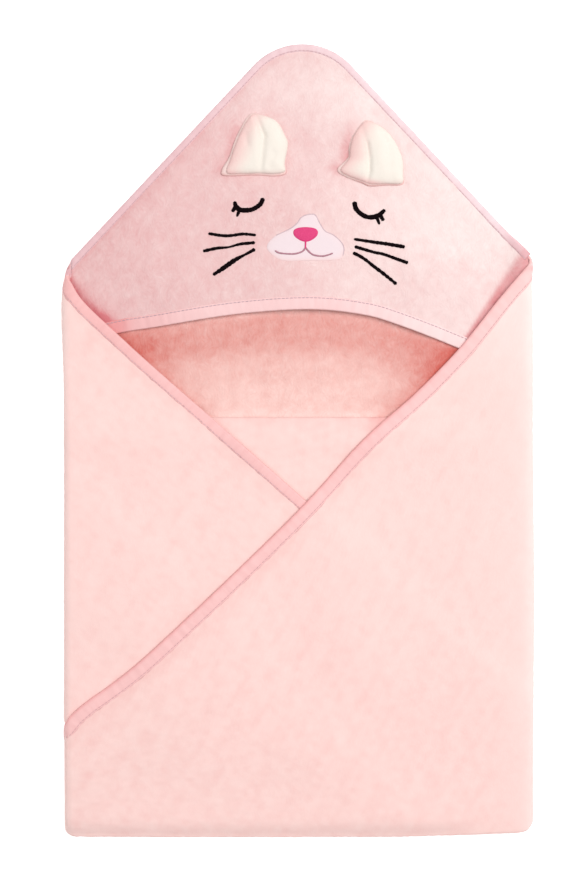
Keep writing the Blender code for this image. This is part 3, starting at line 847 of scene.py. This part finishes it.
def build_back():
    """The back panel, its bottom fold, the bottom flap up to the crease, and the tip turned under it."""
    x = np.linspace(-JOIN_X - 0.003, JOIN_X + 0.003, 126)
    column = x[:, None]
    pocket_top, pocket_low, shown_low = 0.108, 0.002, -0.052
    turned = CREASE - TURN
    parts, flats = [], []

    def add(y, z, v):
        y, z, v = (np.broadcast_to(value, (len(x), np.shape(y)[-1])) for value in (y, z, v))
        parts.append(np.stack([np.broadcast_to(column, y.shape), y, z], axis=-1))
        flats.append(flat_grid(x, v))

    top = corner_edge(x)[:, None] - EDGE_INSET
    start = bottom_edge(x, BACK_RECESS)[:, None] + TURN
    hooded = between(top, pocket_top, 60)[:, :-1]
    pocket = between(pocket_top, pocket_low, 52)[None, :-1]
    for y in (hooded, pocket, between(pocket_low, start, 96)):
        add(y, height_at(LAYERS["back"], column, y), y)
    angle = np.linspace(0.0, math.pi, 9)[1:]
    low = height_at(LAYERS["back"], column, start)
    add(start - TURN * np.sin(angle), low + TURN * (1 - np.cos(angle)), start - TURN * angle)
    lift = math.pi * TURN
    for y in (between(start, shown_low, 50)[:, 1:], between(shown_low, turned, 34)[None, 1:]):
        add(y, height_at(LAYERS["bottom"], column, y), 2 * start - lift - y)
    high = height_at(LAYERS["bottom"], column, turned)
    end = 2 * start - lift - turned
    add(turned + TURN * np.sin(angle), high - TURN * (1 - np.cos(angle)), end - TURN * angle)
    tip = (turned - np.linspace(0.0, TIP_DEPTH, 7)[1:])[None, :]
    add(tip, high - PITCH, end - lift - (turned - tip))

    mid, uv = np.concatenate(parts, axis=1), np.concatenate(flats, axis=1)
    obj = cloth_shell("back_cloth", mid, uv, False, (0.00022, 0.00008), (pocket_painted_shading, crease_painted_shading), 100)
    replaced = ("back_panel", "bottom_fold", "bottom_flap", "crease_fold", "turned_under_tip")
    finish_piece(obj, [INNER_PLUSH, OUTER_PLUSH], "root", replaced)


def side_grid(side, s, rows, recess):
    """A side's middle points: from its bound edge round the bottom fold and a little way up inside."""
    flat_x = side.point(s, np.zeros_like(s))[:, 0]
    top = bound_edge(side, s)[:, None] - EDGE_INSET
    start = bottom_edge(flat_x, recess)[:, None] + TURN
    down = between(top, start, rows)
    columns = s[:, None]
    angle = np.linspace(0.0, math.pi, 9)[1:]
    facing = side.normal(columns, start)
    turn = side.point(columns, start) + facing * (TURN * (1 - np.cos(angle)))[None, :, None]
    turn[..., 1] -= TURN * np.sin(angle)
    inside = 0.010
    up = start + np.linspace(0.0, inside, 6)[1:]
    under = side.point(columns, up) + side.normal(columns, up) * PITCH
    mid = np.concatenate([side.point(columns, down), turn, under], axis=1)
    v = np.concatenate([down, start - TURN * angle, 2 * start - math.pi * TURN - up], axis=1)
    return mid, flat_grid(side.sign * s, v)


def side_columns(side, end, spacing):
    """Values of s from the join with the back panel, close together round the fold, to the far end."""
    strip = np.linspace(JOIN_X, FOLD_X, 6)
    fold = np.linspace(FOLD_X, FOLD_X + side.arc, 16)[1:]
    flap = np.linspace(FOLD_X + side.arc, end, round((end - FOLD_X - side.arc) / spacing))[1:]
    return np.concatenate([strip, fold, flap])


def tapered(s):
    """Thickness of a side piece, thinner where it starts inside the back panel."""
    return CLOTH * (0.70 + 0.30 * climb(s, JOIN_X, 0.0045))[:, None]


SIDE_RELIEF = (0.00015, 0.00009)
SIDE_PAINTED_SHADING = (flap_painted_shading, flap_painted_shading)


def build_left():
    """The left side: the fold and the flap that lies under the right one."""
    s = side_columns(LEFT, LEFT.flat_of(0.172), 0.0027)
    mid, uv = side_grid(LEFT, s, 158, LEFT_RECESS)
    obj = cloth_shell("left_cloth", mid, uv, True, SIDE_RELIEF, SIDE_PAINTED_SHADING, 200, tapered(s))
    replaced = ("left_flap", "left_fold", "left_fold_inner")
    replaced += ("left_flap_under_layer", "left_flap_bottom_fold")
    finish_piece(obj, [INNER_PLUSH, OUTER_PLUSH], "root", replaced)


def blend_right(obj, low, high):
    """Bakes the piece's placement into its points."""
    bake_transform(obj)


FLAP_BLEND = (0.0024, 0.0102)
LINING_BLEND = (0.0048, 0.0078)


def build_right():
    """The right side: the fold and the flap on top, whose far end is tucked in at the left."""
    s = side_columns(RIGHT, RIGHT.flat_of(-TUCK_X) + TUCK_TURN * TUCK_ARC, 0.0027)
    mid, uv = side_grid(RIGHT, s, 158, 0.0)
    obj = cloth_shell("right_cloth", mid, uv, False, SIDE_RELIEF, SIDE_PAINTED_SHADING, 300, tapered(s))
    finish_piece(obj, [INNER_PLUSH, OUTER_PLUSH])
    blend_right(obj, *FLAP_BLEND)
    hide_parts("right_flap", "right_fold", "right_flap_bottom_fold", "right_flap_tuck")


def build_lining():
    """The part of the bottom flap that was folded over inside the right flap."""
    reach, inside = 0.235, 0.011
    s = side_columns(RIGHT, FOLD_X + RIGHT.arc + reach, 0.0050)
    flat_x = RIGHT.point(s, np.zeros_like(s))[:, 0]
    start = bottom_edge(flat_x)[:, None] + TURN + inside
    limit = np.minimum(SIDE_TOP - (FOLD_X - flat_x), SIDE_TOP)
    limit = np.maximum(limit[:, None], start + 0.004)
    y = between(limit, start, 60)
    mid = RIGHT.point(s[:, None], y) + RIGHT.normal(s[:, None], y) * PITCH
    uv = flat_grid(s, y)
    obj = cloth_shell("right_lining_cloth", mid, uv, False, (0.00010, 0.00010), SIDE_PAINTED_SHADING, 400)
    finish_piece(obj, [OUTER_PLUSH, INNER_PLUSH])
    blend_right(obj, *LINING_BLEND)
    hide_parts("right_fold_inner", "right_flap_under_layer")


def build_hood():
    """The hood panel. Its grid runs to +X and then down the towel, so its plus side faces the back panel."""
    x = np.linspace(-0.1825, 0.1818, 193)
    top = corner_edge(x)[:, None] - EDGE_INSET
    y = between(top, mouth_edge(x)[:, None] + 0.0012, 116)
    mid = HOOD.point(x[:, None], y)
    uv = flat_grid(x, y)
    obj = cloth_shell("hood_cloth", mid, uv, False, (0.00009, 0.00009), (hood_painted_shading, hood_painted_shading), 500)
    finish_piece(obj, [HOOD_PLUSH, HOOD_PLUSH], "root", ("hood_panel",))


# ---------------------------------------------------------------- edge tapes


def tape_section(inner_width, outer_width):
    """The lines of a folded tape, in order round it.

    Each is its distance in from the edge, its side, from 1 on the inner to -1 on the outer, and its
    share of the tape's width, which the lines of the round have not.
    """
    section = [(share * inner_width, 1.0, share) for share in np.linspace(1.0, 0.0, TAPE_STEPS + 1)]
    for angle in np.linspace(math.pi / 2, -math.pi / 2, 7)[1:-1]:
        section.append((-math.cos(angle), math.sin(angle), None))
    for share in np.linspace(0.0, 1.0, TAPE_STEPS + 1):
        section.append((share * outer_width, -1.0, share))
    return section


def cover_at(share):
    """How thick the tape stands on the cloth: rounded, pressed in at the seam and tucked in at its end."""
    seam = 0.40 * bell((share - SEAM) / 0.065)
    tuck = 1.6 * climb(share, 0.93, 0.07)
    return TAPE_COVER * (1.0 + 0.5 * math.sin(math.pi * min(share, SEAM) / SEAM) - seam - tuck)


def build_tube(name, rings, along, around, reverse=False):
    """A closed form from rings of points, the last of each in its first one's place."""
    uv = np.stack(np.broadcast_arrays(along[:, None], around[None, :]), axis=-1)
    faces = quads(0, *rings.shape[:2], reverse=reverse)
    obj = make_object(name, rings.reshape(-1, 3), faces.tolist(), uv.reshape(-1, 2))
    close_form(obj)
    return obj


def nothing_under(u, v):
    return 0.0 * u


def build_tape(name, surface, path, widths, layers, seed, turn=1.0):
    """Tape folded over a cloth's edge, with its width on the inner and on the outer side.

    path is the edge in the surface's own two directions. layers gives what else the tape holds above
    the surface.
    """
    inward = leftward(path) * turn
    along = run_along(path)
    ease, look, fullness = 0.0006, 0.0012, 0.55
    ripple_height, ripple_length = 0.00011, 0.0075
    out = unit(surface.point(*path.T) - surface.point(*(path + inward * look).T))
    rings = []
    for depth, level, share in tape_section(*widths):
        place = path + inward * (max(depth, 0.0) + ease)
        cover = cover_at(share) if share is not None else TAPE_COVER
        ripple = ripple_height * waves(along, np.full_like(along, depth * 0.25), ripple_length, seed, 8)
        ripple *= 1.0 if share is None or share < 0.9 else 0.3
        held = layers(*place.T) / 2
        half = CLOTH / 2 + held
        rise = held + level * (half + cover + ripple)
        point = surface.point(*place.T) + surface.normal(*place.T) * rise[:, None]
        if share is None:
            point = point + out * (-depth * (half + cover) * fullness)[:, None]
        rings.append(point)
    rings = np.stack(rings, axis=1)
    closed = np.concatenate([rings, rings[:, :1]], axis=1)
    v = run_along(closed[len(path) // 2])
    return build_tube(name, closed, along, v, reverse=turn < 0), rings


def stitch_rows(name, rows):
    """Machine stitches along each row of points, as short thread ends that dip into the cloth."""
    rings, faces = [], []
    sides, profile = 6, [(-0.5, 0.25), (-0.38, 0.9), (0.0, 1.1), (0.38, 0.9), (0.5, 0.25)]
    look_ahead, flatness = 0.001, 0.8
    first = 0

    def at_run(at, along, points):
        return np.array([np.interp(at, along, points[:, k]) for k in range(3)])

    for points, normals in rows:
        along = run_along(points)
        for at in np.arange(STITCH_PITCH / 2, along[-1], STITCH_PITCH):
            centre = at_run(at, along, points)
            ahead = at_run(at + look_ahead, along, points) - centre
            up = at_run(at, along, normals)
            length = np.linalg.norm(ahead)
            if length < 1e-9:
                continue
            ahead = ahead / length
            across = np.cross(up, ahead)
            for place, size in profile:
                sunk = flatness if size < 0.5 else 0.0
                for side in range(sides):
                    angle = 2 * math.pi * side / sides
                    radial = across * math.cos(angle) + up * (flatness * math.sin(angle) - sunk)
                    rings.append(centre + ahead * place * STITCH_LENGTH + radial * STITCH_RADIUS * size)
            for ring in range(first, first + (len(profile) - 1) * sides, sides):
                for side in range(sides):
                    a, b = ring + side, ring + (side + 1) % sides
                    faces.append((a, b, b + sides, a + sides))
            last = first + (len(profile) - 1) * sides
            faces.append((first + 2, first + 1, first, first + 5))
            faces.append((first + 5, first + 4, first + 3, first + 2))
            faces.append((last + 5, last, last + 1, last + 2))
            faces.append((last + 2, last + 3, last + 4, last + 5))
            first += len(profile) * sides
    points = np.array(rings)
    uv = np.stack([points[:, 0] + points[:, 1], points[:, 2]], axis=1)
    return make_object(name, points, faces, uv)


def seam_rows(rings):
    """The two stitch rows of a tape, one on each side, with the directions that they face."""
    proud = 0.00012
    from_edge = round((1 - SEAM) * TAPE_STEPS)
    on_inner, on_outer = from_edge, rings.shape[1] - 1 - from_edge
    rows = []
    for number, opposite in ((on_inner, on_outer), (on_outer, on_inner)):
        line = rings[:, number]
        across = rings[:, number + 1] - rings[:, number - 1]
        facing = unit(np.cross(np.gradient(line, axis=0), across))
        facing *= np.sign(((line - rings[:, opposite]) * facing).sum(axis=1))[:, None]
        rows.append((line + facing * proud, facing))
    return rows


def sew_down(name, rings, thread, body=None):
    """The machine stitches that hold a tape on the cloth."""
    return finish_piece(stitch_rows(name, seam_rows(rings)), [thread], body)


def build_corner_and_left_tape():
    """One tape: up the corner's right edge, round its point, down to the left shoulder and along the flap."""
    turned = FOLD_X + LEFT.arc
    parts = (np.linspace(-0.1828, FOLD_X, 700), np.linspace(FOLD_X, turned, 30)[1:])
    s = np.concatenate([*parts, np.linspace(turned, LEFT.flat_of(0.165), 300)[1:]])
    path = evenly(np.stack([s, bound_edge(LEFT, s)], axis=1), TAPE_SPACING)
    widths = (HOOD_TAPE, LEFT_TAPE)

    def hood_under(s, y):
        return (1 - climb(s, FOLD_X - 0.004, 0.020)) * (PITCH + shoulder_rise(-s, y))

    obj, rings = build_tape("corner_and_left_tape", LEFT, path, widths, hood_under, 610, turn=-1.0)
    replaced = ("corner_binding", "left_flap_binding")
    finish_piece(obj, [CORNER_TAPE, FLAP_TAPE], "root", replaced)
    faces = obj.data.polygons
    centres = np.array([face.center for face in faces])
    near_edge, hood_height = 0.004, 0.0035
    flap = (centres[:, 1] < left_edge(centres[:, 0]) + near_edge) & (centres[:, 2] > hood_height)
    faces.foreach_set("material_index", flap.astype(np.int32))
    x, y = places(obj)
    # Painted shade: the hood's painted shading carried onto the tape and deepened at the right shoulder's
    # roll; on the left flap, deeper towards the left.
    roll = np.minimum(0.60 * hood_painted_shading(x, y) + 0.30 * climb(x, 0.156, 0.018), 0.50)
    on_flap = 0.05 + 0.08 * climb(-x, 0.10, 0.05)
    paint(obj, np.where(y > left_edge(x) + near_edge, roll, on_flap))
    sew_down("corner_and_left_stitches", rings, CORNER_THREAD, "root")


def build_right_tape():
    over = np.linspace(0.1768, FOLD_X + RIGHT.arc, 60)
    s = np.concatenate([over, np.linspace(over[-1], RIGHT.flat_of(-TUCK_X) + TUCK_ARC, 700)[1:]])
    path = evenly(np.stack([s, bound_edge(RIGHT, s)], axis=1), TAPE_SPACING)
    widths = (INSIDE_TAPE, RIGHT_TAPE)
    obj, rings = build_tape("right_flap_tape", RIGHT, path, widths, nothing_under, 620, turn=-1.0)
    finish_piece(obj, [FLAP_TAPE])
    x, y = places(obj)
    # Painted shade along the tape's outer edge, and painted light towards the right.
    rim = bell(np.minimum(np.abs(y - right_edge(x)) * 0.68, 0.02) / 0.0016)
    paint(obj, 0.30 * rim - 0.15 * climb(x, 0.080, 0.090))
    blend_right(obj, *FLAP_BLEND)
    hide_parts("right_flap_binding")
    stitches = sew_down("right_flap_stitches", rings, FLAP_THREAD)
    blend_right(stitches, *FLAP_BLEND)


def build_mouth_tape():
    x = np.linspace(-0.1780, 0.1780, 400)
    path = evenly(np.stack([x, mouth_edge(x)], axis=1), 0.0014)
    widths = (MOUTH_TAPE, MOUTH_TAPE)
    obj, rings = build_tape("hood_edge_tape", HOOD, path, widths, nothing_under, 630)
    finish_piece(obj, [MOUTH_TAPE_CLOTH], "root", ("hood_edge_binding",))
    x, y = places(obj)
    # Painted shade towards the left and deepest at the left end, painted light towards the right.
    nap = 0.09 + 0.25 * climb(-x, 0.060, 0.080) - 0.28 * climb(x, 0.020, 0.100)
    paint(obj, nap + 0.30 * climb(-x, 0.128, 0.014))
    sew_down("hood_edge_stitches", rings, MOUTH_THREAD, "root")


# ---------------------------------------------------------------- face


def build_thread(name, route, width, height, material, node, base=0.0, seed=700):
    """A raised line of satin stitch along a route on the hood. width is one value, or several along it."""
    path = curve(route, 0.0007)
    along = run_along(path)
    width = np.atleast_1d(width)
    widths = np.interp(along / along[-1], np.linspace(0.0, 1.0, len(width)), width)
    across = leftward(path)
    rim = np.minimum(along, along[-1] - along)
    ends = 0.35
    from_end = np.clip(rim / (ends * widths + 1e-9), 0.0, 1.0)
    rounded = np.sqrt(np.clip(1 - (1 - from_end) ** 2, 0.02, 1.0))
    ragged = 1.0 + 0.07 * waves(along, 0 * along, 0.0022, seed, 6)
    angles = np.linspace(0.0, 2 * math.pi, 17)
    sunk = 0.0006
    rings = []
    for angle in angles:
        place = path + across * (np.cos(angle) * widths / 2 * rounded * ragged)[:, None]
        lift = (height if np.sin(angle) > 0 else sunk) * np.sin(angle) * rounded
        rings.append(np.column_stack([place, hood_top(*place.T) + base + lift]))
    rings = np.stack(rings, axis=1)
    v = np.linspace(0.0, 2 * float(widths.mean()), len(angles))
    obj = build_tube(name, rings, along, v)
    return finish_piece(obj, [material], "root", (node,) if node else ())


def box_middle(node):
    low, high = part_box(node)
    return (low + high) / 2


def moved(points, centre):
    """Points given from a centre, as places on the towel."""
    return [(centre[0] + x, centre[1] + y) for x, y in points]


def closed_outline(points, spacing):
    """Evenly spaced points round a smooth closed curve, without the last, which would repeat the first."""
    points = list(points)
    path = curve(points[-2:] + points + points[:2], 0.0004)
    from_first = np.linalg.norm(path - points[0], axis=1)
    half = len(path) // 2
    start, end = np.argmin(from_first[:half]), half + np.argmin(from_first[half:])
    return evenly(path[start : end + 1], spacing)[:-1]


def distance_round(outline, x, y):
    """The distance from each place to a closed outline."""
    return distance_to(np.vstack([outline, outline[:1]]), x, y)


def build_patch(name, centre, outline, rings, upper, lower, material):
    """A closed form over an outline: upper(x, y, share) and lower(x, y, share) give its two surfaces.

    share is 0 at the centre and 1 at the outline.
    """
    share = np.sin(np.linspace(0.0, math.pi / 2, rings + 1))[1:]
    centre = np.array(centre)
    ring_places = centre + share[:, None, None] * (outline[None] - centre)
    shares = np.concatenate([[0.0], np.repeat(share, len(outline))])
    x, y = np.vstack([[centre], ring_places.reshape(-1, 2)]).T
    points = np.vstack([np.column_stack([x, y, surface(x, y, shares)]) for surface in (upper, lower)])
    count, around = len(x), len(outline)
    rim = 1 + (rings - 1) * around
    top, low, sides = [], [], []
    for k in range(around):
        n = (k + 1) % around
        top.append((0, 1 + k, 1 + n))
        for ring in range(1, rim, around):
            top.append((ring + k, ring + around + k, ring + around + n, ring + n))
        sides.append((rim + k, count + rim + k, count + rim + n, rim + n))
    for face in top:
        low.append(tuple(count + corner for corner in face[::-1]))
    obj = make_object(name, points, top + low + sides, points[:, :2])
    close_form(obj, near=1e-7)
    obj.data.materials.append(material)
    return obj


def over_hood(lift, height=0.0, power=1):
    """A surface that stands lift off the hood at its outline, and height more at its centre."""
    return lambda x, y, share: hood_top(x, y) + lift + height * (1 - share**power) ** 0.5


def build_muzzle_and_nose():
    base = (box_middle("muzzle_patch").x, 0.1560)
    shape = [
        (-0.0310, -0.0022), (-0.0239, 0.0056), (-0.0136, 0.0103), (-0.0073, 0.0150), (-0.0040, 0.0196),
        (0.0006, 0.0218), (0.0069, 0.0218), (0.0108, 0.0150), (0.0150, 0.0090), (0.0219, 0.0056),
        (0.0280, -0.0002), (0.0298, -0.0050), (0.0290, -0.0104), (0.0240, -0.0138), (-0.0010, -0.0145),
        (-0.0184, -0.0142), (-0.0278, -0.0090),
    ]
    outline = closed_outline(moved(shape, base), 0.0011)

    raised, sunk = over_hood(0.0, 0.0009, 6), over_hood(-0.0006)
    muzzle = build_patch("muzzle", base, outline, 22, raised, sunk, PALE_APPLIQUE)
    finish_piece(muzzle, [], "root", ("muzzle_patch",))
    x, y = places(muzzle)
    rim = np.exp(-distance_round(outline, x, y) / 0.0022)
    paint(muzzle, rim * (0.35 + 0.65 * climb(base[1] - 0.004, y, 0.006)))
    edge = moved(shape[1:13], base)
    build_thread("muzzle_edge", edge, 0.0009, 0.0004, EDGE_THREAD, None, base=0.0001, seed=701)

    middle = box_middle("nose_patch")
    nose = [
        (-0.0098, 0.0014), (-0.0086, 0.0038), (-0.0054, 0.0051), (0.0, 0.0056), (0.0054, 0.0051),
        (0.0086, 0.0038), (0.0098, 0.0014), (0.0086, -0.0018), (0.0042, -0.0050), (0.0, -0.0060),
        (-0.0042, -0.0050), (-0.0086, -0.0018),
    ]
    centre = (middle.x, middle.y)
    outline = closed_outline(moved(nose, centre), 0.0006)

    domed = over_hood(0.0008, 0.0013, 3)
    obj = build_patch("nose", centre, outline, 16, domed, sunk, NOSE_THREAD)
    finish_piece(obj, [], "root", ("nose_patch",))
    return centre


def build_mouth(nose):
    """The stem under the nose and the smile's two curves."""
    stem = [(nose[0], nose[1] - 0.0045), (nose[0] - 0.0001, 0.1535), (nose[0] - 0.0002, 0.1505)]
    left = [(0.0036, 0.1490), (-0.0020, 0.1471), (-0.0084, 0.1470), (-0.0150, 0.1478), (-0.0183, 0.1497)]
    right = [(0.0082, 0.1492), (0.0122, 0.1462), (0.0190, 0.1452), (0.0240, 0.1462), (0.0277, 0.1476)]
    meeting = [(nose[0], 0.1522)]
    curved = (0.0014, 0.0013, 0.0012)
    for name, route, width, thread, node, seed in (
        ("mouth_stem", stem, 0.0013, NOSE_THREAD, "nose_to_mouth_stitch", 700),
        ("smile_left", meeting + left, curved, MAUVE_THREAD, "mouth_stitch", 700),
        ("smile_right", meeting + right, curved, MAUVE_THREAD, None, 702),
    ):
        build_thread(name, route, width, 0.0008, thread, node, base=0.0009, seed=seed)


BOLD = 1.17  # how much wider than its drawn width each black line is sewn
BLACK_LINES = {
    "eye_left_stitch": (
        [
            (-0.0274, 0.1914), (-0.0292, 0.1872), (-0.0316, 0.1848), (-0.0359, 0.1824),
            (-0.0403, 0.1816), (-0.0458, 0.1820), (-0.0490, 0.1848), (-0.0502, 0.1888),
        ],
        (0.0030, 0.0032, 0.0033, 0.0034, 0.0028),
    ),
    "lash_left_outer": ([(-0.0490, 0.1848), (-0.0502, 0.1830), (-0.0522, 0.1803)], (0.0034, 0.0022)),
    "lash_left_inner": ([(-0.0458, 0.1824), (-0.0470, 0.1800), (-0.0484, 0.1764)], (0.0030, 0.0014)),
    "eye_right_stitch": (
        [
            (0.0446, 0.1887), (0.0454, 0.1841), (0.0475, 0.1808), (0.0510, 0.1780),
            (0.0550, 0.1763), (0.0593, 0.1762), (0.0638, 0.1778), (0.0690, 0.1822),
        ],
        (0.0032, 0.0033, 0.0034, 0.0034, 0.0024),
    ),
    "lash_right_inner": ([(0.0616, 0.1770), (0.0630, 0.1744), (0.0645, 0.1702)], (0.0030, 0.0014)),
    "lash_right_outer": ([(0.0645, 0.1785), (0.0660, 0.1762), (0.0678, 0.1732)], (0.0034, 0.0022)),
    "whisker_left_upper": (
        [(-0.0711, 0.1633), (-0.0600, 0.1616), (-0.0529, 0.1616), (-0.0435, 0.1628), (-0.0330, 0.1619)],
        (0.0020, 0.0022, 0.0022, 0.0018),
    ),
    "whisker_left_middle": (
        [(-0.0752, 0.1492), (-0.0640, 0.1516), (-0.0550, 0.1524), (-0.0458, 0.1548), (-0.0338, 0.1560)],
        (0.0024, 0.0022, 0.0014, 0.0022, 0.0020),
    ),
    "whisker_left_lower": (
        [(-0.0672, 0.1303), (-0.0600, 0.1351), (-0.0498, 0.1422), (-0.0405, 0.1472), (-0.0338, 0.1509)],
        (0.0020, 0.0034, 0.0032, 0.0016, 0.0026),
    ),
    "whisker_right_upper": (
        [(0.0440, 0.1588), (0.0596, 0.1564), (0.0711, 0.1548), (0.0846, 0.1525)],
        (0.0020, 0.0022, 0.0026, 0.0024),
    ),
    "whisker_right_middle": (
        [(0.0446, 0.1529), (0.0596, 0.1485), (0.0672, 0.1469), (0.0782, 0.1430), (0.0871, 0.1398)],
        (0.0022, 0.0020, 0.0022, 0.0024),
    ),
    "whisker_right_lower": (
        [(0.0434, 0.1481), (0.0514, 0.1438), (0.0596, 0.1375), (0.0691, 0.1303), (0.0780, 0.1230)],
        (0.0024, 0.0022, 0.0024, 0.0020),
    ),
}


def build_black_lines():
    for number, (node, (route, widths)) in enumerate(BLACK_LINES.items()):
        name = node.removesuffix("_stitch") + "_thread"
        widths = np.array(widths) * BOLD
        build_thread(name, route, widths, 0.0010, BLACK_THREAD, node, seed=720 + number)


# ---------------------------------------------------------------- ears


def build_ear(side, outline, front, pleats, lobes):
    """A plush ear laid flat on the hood: a pink back and a puffed ivory front with pleats pressed into it."""
    whole = closed_outline(outline, 0.0014)
    centre = tuple(whole.mean(axis=0))
    base = float(whole[:, 1].min())
    rest = float(hood_top(*centre))

    back_height, hidden_height, front_height, puff = 0.0029, 0.0010, 0.0024, 0.0044

    def shell(x, y, share):
        return rest + back_height * (1 - share**5) ** 0.5

    obj = build_patch(f"ear_{side}_pink", centre, whole, 20, shell, over_hood(-0.0002), EAR_PINK)
    finish_piece(obj, [], f"ear_{side}", (f"ear_{side}_back",))
    x, y = places(obj)
    # Painted shade: a dark rim round the ear's pink back, deepest along its base where it meets the hood.
    rim = np.exp(-distance_round(whole, x, y) / 0.0009)
    paint(obj, 0.35 * rim * climb(base + 0.008, y, 0.006) + 0.10 * rim)

    inner = closed_outline(front, 0.0012)
    middle = tuple(inner.mean(axis=0))

    def puffed(x, y, share):
        z = rest + front_height + puff * (1 - share**3) ** 0.5
        for place, size, height in lobes:
            away = np.hypot((x - place[0]) / size[0], (y - place[1]) / size[1])
            z = z + height * bell(away) * (1 - share**4)
        pressed = [depth * bell(distance_to(path, x, y) / width) for path, width, depth in pleats]
        return z - np.max(pressed, axis=0) * (1 - 0.7 * share**5)

    def hidden(x, y, share):
        return rest + hidden_height + 0 * x

    obj = build_patch(f"ear_{side}_ivory", middle, inner, 34, puffed, hidden, IVORY_PLUSH)
    finish_piece(obj, [], f"ear_{side}", (f"ear_{side}_front",))
    x, y = places(obj)
    left_side = sorted((py, px) for px, py in whole if px < centre[0])
    leftmost = np.interp(y, *np.array(left_side).T)
    blush = 0.85 * (1 - climb(x - leftmost, 0.001, 0.021)) + 0.30 * climb(base + 0.006, y, 0.005)
    paint(obj, np.minimum(blush, 0.85))


# ---------------------------------------------------------------- camera, floor and light


def build_camera():
    data = bpy.data.cameras.new("camera")
    data.lens = 85.0
    data.sensor_width = 36.0
    camera = add_object("camera", data)
    seen_height = 0.699
    subject = 0.008
    distance = data.lens / data.sensor_width * seen_height
    camera.location = (-0.01185, -0.0020, subject + distance)
    bpy.context.scene.camera = camera


def build_floor():
    mesh = bpy.data.meshes.new("floor")
    reach = 25.0
    corners = [(-reach, -reach, 0.0), (reach, -reach, 0.0), (reach, reach, 0.0), (-reach, reach, 0.0)]
    mesh.from_pydata(corners, [], [(0, 1, 2, 3)])
    floor = add_object("floor", mesh)
    floor.location.z = -0.0003
    nodes = Nodes("floor")
    grain = nodes.noise(nodes.add("ShaderNodeTexCoord").outputs["Object"], 3.0)
    colour = nodes.mix(grain, (0.93, 0.93, 0.925), (0.95, 0.95, 0.945))
    nodes.finish(colour, nodes.bump(grain, 0.0001, 0.1), 0.9)
    nodes.shader.inputs["Emission Color"].default_value = (1.0, 1.0, 0.995, 1.0)
    nodes.shader.inputs["Emission Strength"].default_value = 0.50
    floor.data.materials.append(nodes.material)


def area_light(name, place, size, watts, colour):
    data = bpy.data.lights.new(name, "AREA")
    data.shape = "DISK"
    data.size = size
    data.energy = watts
    data.color = colour
    light = add_object(name, data)
    light.location = place
    light.rotation_mode = "QUATERNION"
    light.rotation_quaternion = Vector(-np.array(place)).to_track_quat("-Z", "Y")


def build_lights():
    world = bpy.data.worlds.new("studio")
    bpy.context.scene.world = world
    world.use_nodes = True
    background = world.node_tree.nodes["Background"]
    background.inputs["Color"].default_value = (1.0, 0.99, 0.995, 1.0)
    background.inputs["Strength"].default_value = 0.46
    area_light("key", (0.80, 0.55, 1.85), 1.5, 37.0, (1.0, 0.99, 0.985))
    area_light("fill", (-1.2, -0.6, 1.8), 1.6, 8.0, (1.0, 0.985, 1.0))
    bpy.context.scene.view_settings.view_transform = "Standard"


# ---------------------------------------------------------------- the whole

build_camera()
build_floor()
build_lights()
build_back()
build_left()
build_hood()
build_right()
build_lining()
build_corner_and_left_tape()
build_right_tape()
build_mouth_tape()
nose = build_muzzle_and_nose()
build_mouth(nose)
build_black_lines()
build_ear("left", LEFT_EAR, LEFT_EAR_FRONT, LEFT_PLEATS, LEFT_LOBES)
build_ear("right", RIGHT_EAR, RIGHT_EAR_FRONT, RIGHT_PLEATS, RIGHT_LOBES)
